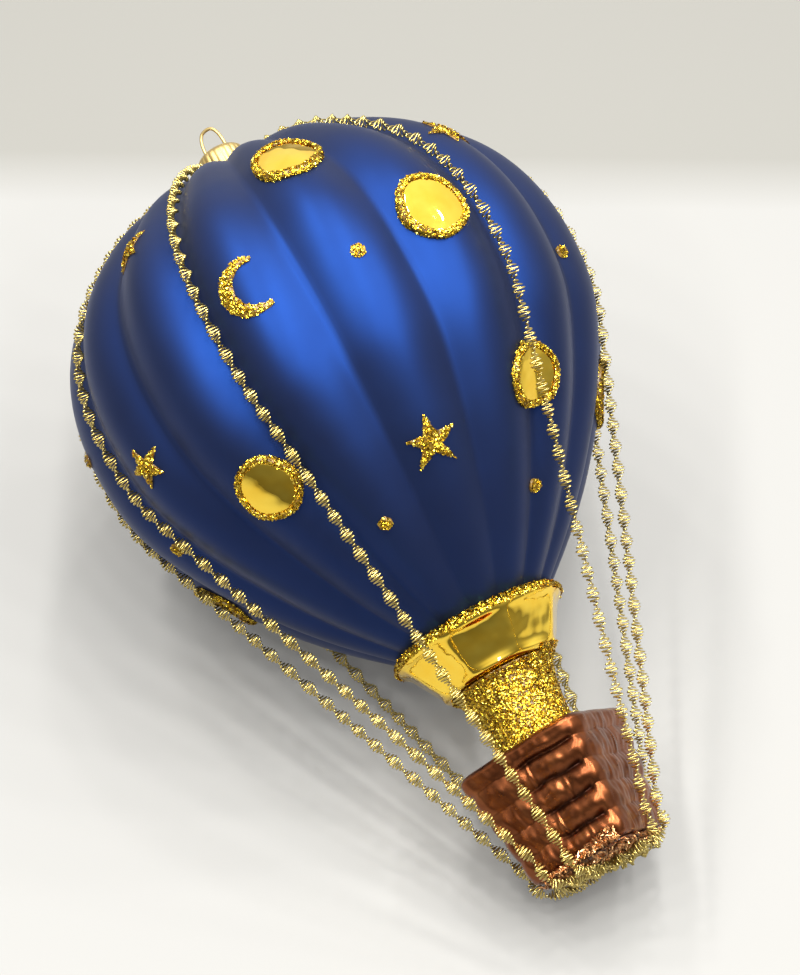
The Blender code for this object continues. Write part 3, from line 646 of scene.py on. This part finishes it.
def build_envelope():
    columns = LOBES * COLUMNS_PER_LOBE
    azimuth = LOBE_TURN + round_ring(columns)
    outer_arcs = surface.arc[1:]
    inner_arcs = surface.arc[-2:2 * PROFILE_STEPS:-INSIDE_STRIDE]
    neck = ENVELOPE_PROFILE[0][0]
    low_z, low_r = ENVELOPE_PROFILE[-1][:2]
    rings = [at(azimuth, PIKE_RADIUS - PIKE_EDGE, PIKE_TOP),
             at(azimuth, PIKE_RADIUS, PIKE_TOP - PIKE_EDGE), at(azimuth, PIKE_RADIUS, neck + PIKE_FOOT),
             at(azimuth, PIKE_RADIUS + PIKE_FILLET, neck + PIKE_FILLET)]
    rings += [surface.place(azimuth, arc, 0.0) for arc in outer_arcs]
    rings.append(at(azimuth, low_r - LIP_WALL, low_z))
    rings += [surface.place(azimuth, arc, -GLASS_WALL) for arc in inner_arcs]
    rings += [at(azimuth, PIKE_BORE, neck - PIKE_FOOT), at(azimuth, PIKE_BORE, PIKE_TOP)]
    make_piece("envelope_glass", [(loft(rings, closed=True), BLUE, True)],
               "glass", ["envelope"])


def ring_flakes(rng, rows, share, spread, span=(0.0, 360.0)):
    """Flakes on a surface of revolution given by rows of (height, radius)."""
    z, r = smooth_rows(rows, CURVE_STEPS).T
    arc = np.concatenate([[0.0], np.cumsum(np.hypot(np.diff(z), np.diff(r)))])
    length = math.radians(span[1] - span[0]) * r.mean()
    count = int(length * arc[-1] * FLAKES_PER_MM2 * share)
    spot = rng.uniform(0, arc[-1], count)
    azimuth = rng.uniform(*span, count)
    slope = unit(np.stack([np.gradient(r), np.gradient(z)], -1))
    nr = np.interp(spot, arc, -slope[:, 1])
    nz = np.interp(spot, arc, slope[:, 0])
    lift = rng.uniform(0, spread, count)
    points = at(azimuth, np.interp(spot, arc, r) + nr * lift, np.interp(spot, arc, z) + nz * lift)
    return chips(points, at(azimuth, nr, nz), rng)


def build_band():
    rng = np.random.default_rng(SEED)
    azimuth = round_ring(BAND_COLUMNS)
    half_panel = 180.0 / BAND_PANELS
    local = np.radians(azimuth % (2 * half_panel) - half_panel)
    chord = 1 - math.cos(math.radians(half_panel)) / np.cos(local)
    dish = np.sqrt(chord ** 2 + RIB_ROUND ** 2) - RIB_ROUND
    outside = smooth_rows(BAND_OUTSIDE, BAND_STEPS)
    rings = [at(azimuth, r * (1 - flat * dish), z) for z, r, flat in outside]
    rings += [at(azimuth, r, z) for z, r in BAND_INSIDE]
    make_piece("neck_band_mirror", [(loft(rings, closed=True), MIRROR, True)],
               "glass", ["neck_band"])
    trim = ring_flakes(rng, BAND_TRIM, *TRIM_FLAKES)
    patch = ring_flakes(rng, BAND_PATCH, *PATCH_FLAKES, PATCH_SPAN)
    make_piece("neck_band_trim", [(trim, GLITTER, False), (patch, GLITTER, False)],
               "glass")


def build_throat():
    rng = np.random.default_rng(SEED + 1)
    azimuth = round_ring(THROAT_COLUMNS)
    outside = smooth_rows(THROAT_OUTSIDE, CURVE_STEPS)
    rings = [at(azimuth, r, z) for z, r in np.vstack([outside, THROAT_INSIDE])]
    flakes = ring_flakes(rng, THROAT_OUTSIDE, *THROAT_FLAKES)
    make_piece("throat_glitter", [(loft(rings, closed=True), GLUE, True), (flakes, GLITTER, False)],
               "glass", ["throat"])


def squared(azimuth, half):
    """Radius of a rounded square of the given half width."""
    angle = np.radians(azimuth)
    total = np.abs(np.sin(angle)) ** SQUARENESS + np.abs(np.cos(angle)) ** SQUARENESS
    return half / total ** (1 / SQUARENESS)


def basket_half(height):
    share = (BASKET_TOP - height) / (BASKET_TOP - BASKET_FLOOR)
    return BASKET_HALF_TOP + (BASKET_HALF_FLOOR - BASKET_HALF_TOP) * share


def ripple(azimuth, height, seed):
    """Slow uneven waves, within -1 and 1."""
    a = np.radians(azimuth)
    return (np.sin(3 * a + 0.9 * height + seed) + np.sin(7 * a - 0.55 * height + 2.3 * seed)
            + np.sin(11 * a + 0.35 * height + 4.1 * seed)) / 3


def weave(azimuth, height):
    """Relief of the woven bars, 0 in the grooves and 1 on the bars."""
    wavy = height + 0.34 * ripple(azimuth, height * 0.4, 1.0)
    q = np.tan(np.radians((azimuth + 45.0) % 90.0 - 45.0))      # along a face, -1 to 1
    rows_top = BASKET_TOP - BASKET_RIM
    row_height = (rows_top - BASKET_FLOOR) / BAR_ROWS
    v = (rows_top - wavy) / row_height
    row = np.clip(np.floor(v), 0, BAR_ROWS - 1)
    across = np.clip(v - row, 0.0, 1.0)
    uneven_q = q + 0.05 * ripple(azimuth, height * 0.2, 2.0)
    # a stake in the face's middle on one row, a stake near each side on the next
    off = np.where(row % 2 == 0, np.abs(uneven_q - STAKE_MIDDLE), np.abs(np.abs(uneven_q) - STAKE_SIDE))
    bar = 0.80 + 0.20 * smoothstep(0.04, 0.20, off)
    crown = np.sin(np.pi * np.clip(across * 1.04, 0, 1)) ** 0.9 * bar
    knob = KNOB * (1 - smoothstep(0.0, 0.10, off)) * np.sin(np.pi * across) ** 0.8
    # the front face is cut deepest towards the near corner
    front = 1 - smoothstep(42.0, 46.0, np.abs((azimuth + 180.0) % 360.0 - 180.0))
    deep = SHALLOW + front * DEEPER * smoothstep(-0.30, 0.10, q) * (1 - smoothstep(0.86, 0.97, q))
    relief = 1 - deep * (1 - np.maximum(crown, knob))
    over = np.clip((wavy - rows_top) / BASKET_RIM, 0.0, 1.0)
    rim = np.sin(np.pi * np.clip(over * 1.2, 0.0, 0.5)) ** 0.7
    return np.where(wavy > rows_top, 1 - deep * (1 - rim), relief)


def build_basket():
    azimuth = round_ring(BASKET_COLUMNS)

    def ring(half, height):
        return at(azimuth, squared(azimuth, half), height)

    def plain(value):
        return np.full(BASKET_COLUMNS, value)

    uneven = RIM_WAVE * ripple(azimuth, -130.0, 3.0)
    rings, values = [at(azimuth, BASKET_MOUTH, BASKET_TOP)], [plain(MOUTH_SHADE_RELIEF)]
    for inward, down in RIM_EDGE:
        rings.append(ring(BASKET_HALF_TOP - inward, BASKET_TOP - down + uneven))
        values.append(plain(RIM_SHADE_RELIEF))
    for height in np.linspace(BASKET_TOP - 1.4, BASKET_FLOOR + 0.5, BASKET_RINGS):
        relief = weave(azimuth, height)
        lumps = LUMPS * ripple(azimuth * 2.0, height * 1.3, 5.0)
        lumps = lumps + FINE_LUMPS * ripple(azimuth * 5.0, height * 2.2, 9.0)
        side = squared(azimuth, basket_half(height) + 0.1 + lumps)
        rings.append(at(azimuth, side - BAR_DEPTH * (1 - relief), height))
        # the relief also darkens the copper's colour: painted shade in the grooves
        values.append(relief)
    for inward, up in FLOOR_EDGE:
        rings.append(ring(BASKET_HALF_FLOOR - inward, BASKET_FLOOR + up))
        values.append(plain(FLOOR_SHADE_RELIEF))
    inner = [ring(BASKET_HALF_FLOOR - 2.4, BASKET_FLOOR + BASKET_WALL)]
    inner += [ring(basket_half(height) - BASKET_WALL - 1.1, height)
              for height in (BASKET_FLOOR + 3.0, BASKET_TOP - 4.0, BASKET_TOP - 1.6)]
    inner.append(at(azimuth, BASKET_MOUTH, BASKET_TOP - BASKET_WALL))
    # the inside and the mouth get low values: painted shade
    values = [plain(INSIDE_SHADE_RELIEF)] * len(inner) + values + [np.array([INSIDE_SHADE_RELIEF, FLOOR_SHADE_RELIEF])]
    make_piece("basket_glass", [(loft(inner + rings), COPPER, True)],
               "glass", ["basket"], values=np.concatenate(values))


def build_base():
    rng = np.random.default_rng(SEED + 2)
    azimuth = round_ring(BASE_COLUMNS)
    top = BASKET_FLOOR - 0.05
    rings = [at(azimuth, squared(azimuth, BASE_HALF - inward), top - down) for inward, down in BASE_ROWS]
    x, y = rng.uniform(-BASE_HALF, BASE_HALF, (2, BASE_FLAKES))
    edge = np.clip((np.maximum(abs(x), abs(y)) - BASE_HALF + BASE_EDGE) / BASE_EDGE, 0, 1)
    under = np.stack([x, y, top - 0.85 + 0.7 * edge - rng.uniform(0, 0.4, BASE_FLAKES)], -1)
    # a clump that climbs the front face towards the near corner
    x = rng.uniform(*CLUMP_SPAN, CLUMP_FLAKES) * BASKET_HALF_FLOOR
    climb = CLUMP_HEIGHT * np.clip(0.35 + x / BASKET_HALF_FLOOR, 0.12, 1.0)
    height = BASKET_FLOOR + climb * rng.uniform(0, 1, CLUMP_FLAKES) ** 1.6
    clump = np.stack([x, -basket_half(height) - rng.uniform(0.0, 0.35, CLUMP_FLAKES), height], -1)
    points = np.vstack([under, clump])
    normals = np.vstack([np.tile([0.0, 0.0, -1.0], (BASE_FLAKES, 1)),
                         np.tile([0.0, -0.9, -0.4], (CLUMP_FLAKES, 1))])
    flakes = chips(points, normals, rng, COARSE_FLAKE, COARSE_TILT, COARSE_STRETCH)
    parts = [(loft(rings), COPPER_GLUE, True), (flakes, COPPER_GLITTER, False)]
    make_piece("base_glitter_flakes", parts, "glass", ["base_glitter"])


# Windows and glitter ornaments

def glass_disc(azimuth, height):
    """A function that lays points (x right, y up, lift) on a disc between flat and the glass."""
    arc = surface.arc_at(height)
    r, z, nr, nz = (float(surface.read(arc, name)) for name in ("r", "z", "nr", "nz"))
    middle = leaning(azimuth, r, z)
    ahead = at(azimuth, nr, nz)
    across = at(azimuth + 90.0, 1.0, 0.0)
    upward = np.cross(ahead, across)
    laid = laid_on(azimuth, height)

    def spot(x, y, lift):
        lift = np.broadcast_to(lift, x.shape)
        flat = middle + x[:, None] * across + y[:, None] * upward + lift[:, None] * ahead
        return laid(x, y, lift)[0] * (1 - WINDOW_FLAT) + flat * WINDOW_FLAT

    return spot, laid, ahead


def build_windows():
    turn = np.linspace(0, 2 * np.pi, WINDOW_COLUMNS, endpoint=False)
    for number, (azimuth, height, radius) in enumerate(WINDOWS, 1):
        rng = np.random.default_rng(SEED + 100 + number)
        spot, laid, ahead = glass_disc(azimuth, height)

        def uneven(turn):
            return 1 + 0.022 * np.sin(3 * turn + number) + 0.018 * np.sin(5 * turn + 2.1 * number)

        def ring(reach, lift, place=spot):
            return place(*polar(reach * uneven(turn), turn), lift)

        def on_glass(x, y, lift):
            return laid(x, y, np.full(x.shape, lift))[0]

        inner = radius - WINDOW_RIM
        mirror = [ring(inner * s, WINDOW_LIFT + MIRROR_CROWN * (1 - s * s)) for s in MIRROR_RINGS]
        mirror.append(ring(inner * MIRROR_RINGS[-1], 0.2))
        make_piece(f"window_{number:02d}_mirror", [(loft(mirror), MIRROR, True)],
                   "glass", [f"window_{number:02d}"])
        top = WINDOW_LIFT + RIM_LIFT
        # reach and lift of the rim's section
        section = [(inner, WINDOW_LIFT), (inner + 0.12, top - 0.12), (inner + 0.45, top),
                   (radius - 0.5, top - 0.08), (radius - 0.1, WINDOW_LIFT - 0.1)]
        rim = [ring(reach, lift) for reach, lift in section]
        rim += [ring(radius, 0.1, on_glass), ring(radius - 0.9, 0.1, on_glass), ring(inner + 0.1, 0.3)]
        area = 2 * math.pi * (radius - 0.5 * WINDOW_RIM) * (WINDOW_RIM + 0.6)
        count = int(area * FLAKES_PER_MM2 * 1.3)
        around = rng.uniform(0, 2 * np.pi, count)
        lane = rng.uniform(0.15, len(section) - 1, count)
        reach, lift = (np.interp(lane, range(len(section)), row) for row in np.array(section).T)
        x, y = polar((reach + rng.normal(0, 0.07, count)) * uneven(around), around)
        points = spot(x, y, lift + rng.uniform(0.0, 0.2, count))
        outward = unit(points - points.mean(0))
        steep = (2 * lane / (len(section) - 1) - 1)[:, None]
        normals = unit(ahead + 0.9 * steep ** 3 * outward)
        # the rim's outer wall, down to the glass
        around = rng.uniform(0, 2 * np.pi, count // 2)
        x, y = polar(radius * uneven(around), around)
        share = rng.uniform(0.0, 1.0, (count // 2, 1))
        wall = on_glass(x, y, 0.15) * (1 - share) + spot(x, y, WINDOW_LIFT) * share
        points = np.vstack([points, wall])
        normals = np.vstack([normals, unit(unit(wall - wall.mean(0)) + 0.4 * ahead)])
        make_piece(f"window_{number:02d}_rim", [(loft(rim, closed=True), GLUE, True),
                                                (chips(points, normals, rng), GLITTER, False)],
                   "glass")


def inside_polygon(x, y, outline):
    """Which points lie inside an outline (N, 2)."""
    inside = np.zeros(len(x), bool)
    for (ax, ay), (bx, by) in zip(outline, np.roll(outline, -1, 0)):
        crosses = (ay > y) != (by > y)
        at_x = ax + (y - ay) / ((by - ay) or 1e-9) * (bx - ax)
        inside ^= crosses & (x < at_x)
    return inside


def edge_distance(x, y, outline):
    nearest = np.full(len(x), 1e9)
    for a, b in zip(outline, np.roll(outline, -1, 0)):
        d = b - a
        t = np.clip(((x - a[0]) * d[0] + (y - a[1]) * d[1]) / (d @ d), 0, 1)
        nearest = np.minimum(nearest, np.hypot(x - a[0] - t * d[0], y - a[1] - t * d[1]))
    return nearest


def laid_on(azimuth, height, turn=0.0):
    """A function that lays points (x right, y up, lift) on the glass and gives its normals there."""
    arc = surface.arc_at(height)
    angle = math.radians(turn)

    def laid(x, y, lift):
        across = x * math.cos(angle) - y * math.sin(angle)
        spot_arc = arc - (x * math.sin(angle) + y * math.cos(angle))
        azimuths = azimuth + np.degrees(across / surface.read(spot_arc, "r"))
        return surface.place(azimuths, spot_arc, lift), surface.normal(azimuths, spot_arc)

    return laid


def glitter_shape(node, laid, pad, outline, rise, spread, rng):
    """A glitter ornament: a low pad of glue, covered in flakes within an outline."""
    low, high = outline.min(0), outline.max(0)
    tries = int((high - low).prod() * FLAKES_PER_MM2 * 1.5)
    x, y = rng.uniform(low[0], high[0], tries), rng.uniform(low[1], high[1], tries)
    keep = inside_polygon(x, y, outline)
    x, y = x[keep], y[keep]
    crown = smoothstep(0.0, 1.1, edge_distance(x, y, outline))
    spots, normals = laid(x, y, FLAKE_LIFT + rise * crown + spread * rng.uniform(0, 1, len(x)))
    make_piece(f"{node}_glitter", [(pad, GLUE, True), (chips(spots, normals, rng), GLITTER, False)],
               "glass", [node])


def pad_skin(outline, laid, thick):
    """The glue under the flakes: the outline swept up to a low ridge along its middle line."""
    half = len(outline) // 2
    t = np.linspace(0, 1, 7)[:, None]
    rings = []
    for a, b in zip(outline[:half], outline[half:][::-1]):
        chord = a * (1 - t) + b * t
        top = 0.08 + thick * 0.5 * np.sin(np.pi * t[:, 0]) ** 0.5
        upper = laid(chord[:, 0], chord[:, 1], top)[0]
        lower = laid(chord[::-1, 0], chord[::-1, 1], np.full(len(t), PAD_LOW))[0]
        rings.append(np.vstack([upper, lower]))
    return loft(rings)


def star_outline(rng, outer):
    points = []
    for j in range(10):
        radius = outer * (1.0 if j % 2 == 0 else STAR_WAIST) * rng.uniform(0.88, 1.08)
        angle = math.radians(90 + 36 * j + rng.uniform(-4, 4))
        points.append((radius * math.cos(angle), radius * math.sin(angle)))
    return np.array(points)


def build_stars():
    for number, (azimuth, height, turn, outer) in enumerate(STARS, 1):
        rng = np.random.default_rng(SEED + 200 + number)
        outline = star_outline(rng, outer)
        laid = laid_on(azimuth, height, turn)
        fine = np.vstack([a * (1 - t) + b * t for a, b in zip(outline, np.roll(outline, -1, 0))
                          for t in (0.0, 0.33, 0.67)])
        rings = [laid(*(fine.T * s), np.full(len(fine), lift))[0] for s, lift in STAR_PAD]
        glitter_shape(f"star_{number}", laid, loft(rings), outline, *STAR_RELIEF, rng)


def build_crescents():
    share = np.linspace(-1, 1, CRESCENT_POINTS)
    angle = np.radians(180 + CRESCENT_SWEEP * share)
    width = CRESCENT_WIDTH * np.maximum(CRESCENT_TIP, np.cos(np.radians(78 * share)) ** 0.8)
    thick, *relief = CRESCENT_RELIEF
    for number, (azimuth, height) in enumerate(CRESCENTS, 1):
        rng = np.random.default_rng(SEED + 300 + number)
        wobble = rng.uniform(-CRESCENT_WOBBLE, CRESCENT_WOBBLE, (2, CRESCENT_POINTS))
        outer = polar(CRESCENT_RADIUS + wobble[0], angle).T
        inner = polar(CRESCENT_RADIUS - width + wobble[1], angle).T
        outline = np.vstack([outer, inner[::-1]]) + (CRESCENT_SHIFT, 0.0)
        laid = laid_on(azimuth, height)
        glitter_shape(f"crescent_{number}", laid, pad_skin(outline, laid, thick), outline, *relief, rng)


def build_dots():
    angle = 2 * np.pi * np.arange(DOT_POINTS) / DOT_POINTS
    thick, *relief = DOT_RELIEF
    for number, (azimuth, height) in enumerate(DOTS, 1):
        rng = np.random.default_rng(SEED + 400 + number)
        outline = polar(DOT_RADIUS * rng.uniform(0.8, 1.02, DOT_POINTS), angle).T
        laid = laid_on(azimuth, height)
        glitter_shape(f"dot_{number:02d}", laid, pad_skin(outline, laid, thick), outline, *relief, rng)


# Wires

def strand_path(start, leave, stand_off, foot_x, foot_y):
    """From the tie down the valley, then taut to the foot of the basket and under its floor."""
    foot = np.array([foot_x, foot_y, STRAND_FOOT])
    foot_radius = math.hypot(foot_x, foot_y)
    arcs = np.arange(STRAND_START, surface.arc[-1], STRAND_STEP)
    r, z = surface.read(arcs, "r"), surface.read(arcs, "z")
    arcs = arcs[:int(np.argmax((r - foot_radius) / (z - STRAND_FOOT))) + 1]
    share = np.linspace(0, 1, len(arcs)) ** DRIFT_POWER
    azimuth = start + (leave - start) * share
    path = list(surface.place(azimuth, arcs, STRAND_RIDE) + at(azimuth, stand_off * share, 0.0))
    last = path[-1]
    path += [last + (foot - last) * t for t in np.linspace(0, 1, FREE_POINTS)[1:]]
    path += [np.array([foot_x * pull, foot_y * pull, height]) for pull, height in UNDER_FLOOR]
    return np.array(path)


def build_strands():
    for number, (name, *path_values, turn, pitch) in enumerate(STRANDS):
        rng = np.random.default_rng(SEED + 500 + number)
        wire = crinkle(strand_path(*path_values), turn, pitch, rng)
        make_piece(f"strand_{name}_crinkle", [(wire, CRINKLE, True)],
                   "glass", [f"strand_{name}"])


def build_bundle():
    rng = np.random.default_rng(SEED + 3)
    feet = {name: np.array([x, y]) for name, _, _, _, x, y, _, _ in STRANDS}
    t = np.linspace(0, 1, BUNDLE_POINTS)[:, None]
    parts = []
    for number, (a, b, over) in enumerate(CROSSINGS):
        line = feet[a] * BUNDLE_REACH * (1 - t) + feet[b] * BUNDLE_REACH * t
        path = np.column_stack([line, np.full(BUNDLE_POINTS, BUNDLE_HEIGHT + over)])
        parts.append((crinkle(path, 40.0 * number, CRINKLE_PITCH, rng), CRINKLE, True))
    make_piece("wire_bundle_crinkle", parts, "glass", ["wire_bundle"])


def build_tie():
    rng = np.random.default_rng(SEED + 4)
    turns = np.linspace(0, TIE_TURNS * 360, TIE_POINTS)
    path = at(turns, TIE_RADIUS, TIE_TOP - TIE_DROP * turns / turns[-1])
    wire = crinkle(path, 30.0, CRINKLE_PITCH, rng, half=TIE_HALF)
    make_piece("wire_tie_crinkle", [(wire, CRINKLE, True)], "glass", ["wire_tie"])


# Cap and loop

def build_cap():
    azimuth = round_ring(CAP_COLUMNS)
    crimp = 1 - np.abs(np.sin(np.radians(azimuth * CAP_CRIMPS / 2)))
    outside = smooth_rows(CAP_ROWS, CAP_STEPS)
    rings = [at(azimuth, r - d * crimp, z - CRIMP_SAG * d * crimp) for z, r, d in outside]
    for z, r, d in outside[::-3]:
        if r > 0.9:
            down = CAP_WALL if r < CAP_DISC else 0.0
            rings.append(at(azimuth, r - CAP_WALL - d * crimp, z - CRIMP_SAG * d * crimp - down))
    make_piece("cap_shell", [(loft(rings), CAP_METAL, True)], "hanger", ["cap"])


def build_loop():
    left = [(-x, 0.0, z) for x, z in LOOP_HALF]
    right = [(x, 0.0, z) for x, z in LOOP_HALF[-2::-1]]
    wire = tube(smooth_rows(left + right, CURVE_STEPS), WIRE, LOOP_SIDES)
    make_piece("loop_wire", [(wire, CAP_METAL, True)], "hanger", ["wire_loop"])


# Camera, table and lights

def direction(azimuth, elevation):
    """Unit vector that points at an azimuth and an elevation."""
    a, e = math.radians(azimuth), math.radians(elevation)
    return Vector((math.sin(a) * math.cos(e), -math.cos(a) * math.cos(e), math.sin(e)))


TO_CAMERA = direction(CAMERA_AZIMUTH, CAMERA_ELEVATION)
UP = direction(TABLE_AZIMUTH, TABLE_TILT)
FAR = -(TO_CAMERA - UP * TO_CAMERA.dot(UP)).normalized()
RIGHT = FAR.cross(UP)
MIDDLE = Vector(PIVOT) * MM


def add_camera():
    data = bpy.data.cameras.new("photo_camera")
    data.lens, data.sensor_width = LENS, SENSOR
    data.clip_start, data.clip_end = CLIP_NEAR, CLIP_FAR
    camera = add_object("photo_camera", data)
    axis = (Vector((0, 0, 1)) - TO_CAMERA * TO_CAMERA.z).normalized()
    level = axis.cross(TO_CAMERA)
    lean = math.radians(CAMERA_LEAN)
    up = axis * math.cos(lean) + level * math.sin(lean)
    right = up.cross(TO_CAMERA)
    turn = Matrix((right, up, TO_CAMERA)).transposed().to_4x4()
    camera.matrix_world = Matrix.Translation(MIDDLE + TO_CAMERA * CAMERA_DISTANCE * MM) @ turn
    bpy.context.scene.camera = camera


def add_table():
    lowest = min(UP.dot(v.co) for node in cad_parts.values() for v in node.data.vertices)
    origin = MIDDLE - UP * (UP.dot(MIDDLE) - lowest + TABLE_CLEAR)
    corners = [origin + (RIGHT * x + FAR * y) * TABLE_REACH
               for x, y in ((-1, -1), (1, -1), (1, 1), (-1, 1))]
    mesh = bpy.data.meshes.new("table")
    mesh.from_pydata(corners, [], [(0, 1, 2, 3)])
    table = add_object("table", mesh)
    # painted light: the table glows by TABLE_GLOW, which lightens its shadows
    material, tree, shader = new_material("white_table", Roughness=TABLE_ROUGHNESS,
                                          Emission_Color=(*WHITE, 1.0), Emission_Strength=TABLE_GLOW)
    reached = reach_along(tree, "Object", FAR)
    step = FAR.dot(origin) + TONE_STEP
    fade = map_range(tree, reached, 0.0, 1.0, step - STEP_BEFORE, step + STEP_AFTER)
    tone = ramp(tree, fade, [(0.0, TABLE_TONE), (1.0, FAR_TONE)])
    tree.links.new(tone, shader.inputs["Base Color"])
    # the back is clear, so that views from behind and below see the ornament
    clear = add_node(tree, "ShaderNodeBsdfTransparent")
    side = add_node(tree, "ShaderNodeNewGeometry")
    mix = add_node(tree, "ShaderNodeMixShader")
    tree.links.new(side.outputs["Backfacing"], mix.inputs["Fac"])
    tree.links.new(shader.outputs["BSDF"], mix.inputs[1])
    tree.links.new(clear.outputs["BSDF"], mix.inputs[2])
    tree.links.new(mix.outputs["Shader"], tree.nodes["Material Output"].inputs["Surface"])
    mesh.materials.append(material)


def add_lamp(name, sideways, ahead):
    """A small round lamp at LAMP_HEIGHT over the table, aimed at the ornament."""
    data = bpy.data.lights.new(name, "AREA")
    data.shape = "DISK"
    data.size = LAMP_SIZE
    data.energy = LAMP_POWER
    data.color = WHITE
    lamp = add_object(name, data)
    spot = MIDDLE + RIGHT * sideways + FAR * ahead + UP * LAMP_HEIGHT
    lamp.location = spot
    lamp.rotation_euler = (spot - MIDDLE).to_track_quat("Z", "Y").to_euler()


def add_lights():
    """Rows of lamps under the ceiling."""
    for row, sideways in enumerate(LAMP_ROWS):
        for number in range(LAMPS_PER_ROW):
            ahead = LAMP_SPAN * (number / (LAMPS_PER_ROW - 1) - 0.5) + LAMP_AHEAD
            add_lamp(f"lamp_{row + 1}_{number + 1}", sideways, ahead)


def add_room():
    """A room lit by a bright ceiling, dark on the photographer's side."""
    world = bpy.data.worlds.new("room")
    bpy.context.scene.world = world
    world.use_nodes = True
    tree = world.node_tree
    low, high = ROOM_TONES[0][0], ROOM_TONES[-1][0]
    level = map_range(tree, reach_along(tree, "Generated", UP + ROOM_LEAN * FAR), 0.0, 1.0, low, high)
    tone = ramp(tree, level, [((rise - low) / (high - low), [grey * part for part in WHITE])
                              for rise, grey in ROOM_TONES])
    background = tree.nodes["Background"]
    tree.links.new(tone, background.inputs["Color"])
    background.inputs["Strength"].default_value = 1.0


build_envelope()
build_band()
build_throat()
build_basket()
build_base()
build_windows()
build_stars()
build_crescents()
build_dots()
build_strands()
build_bundle()
build_tie()
build_cap()
build_loop()
add_camera()
add_table()
add_room()
add_lights()
bpy.context.scene.view_settings.view_transform = "Standard"
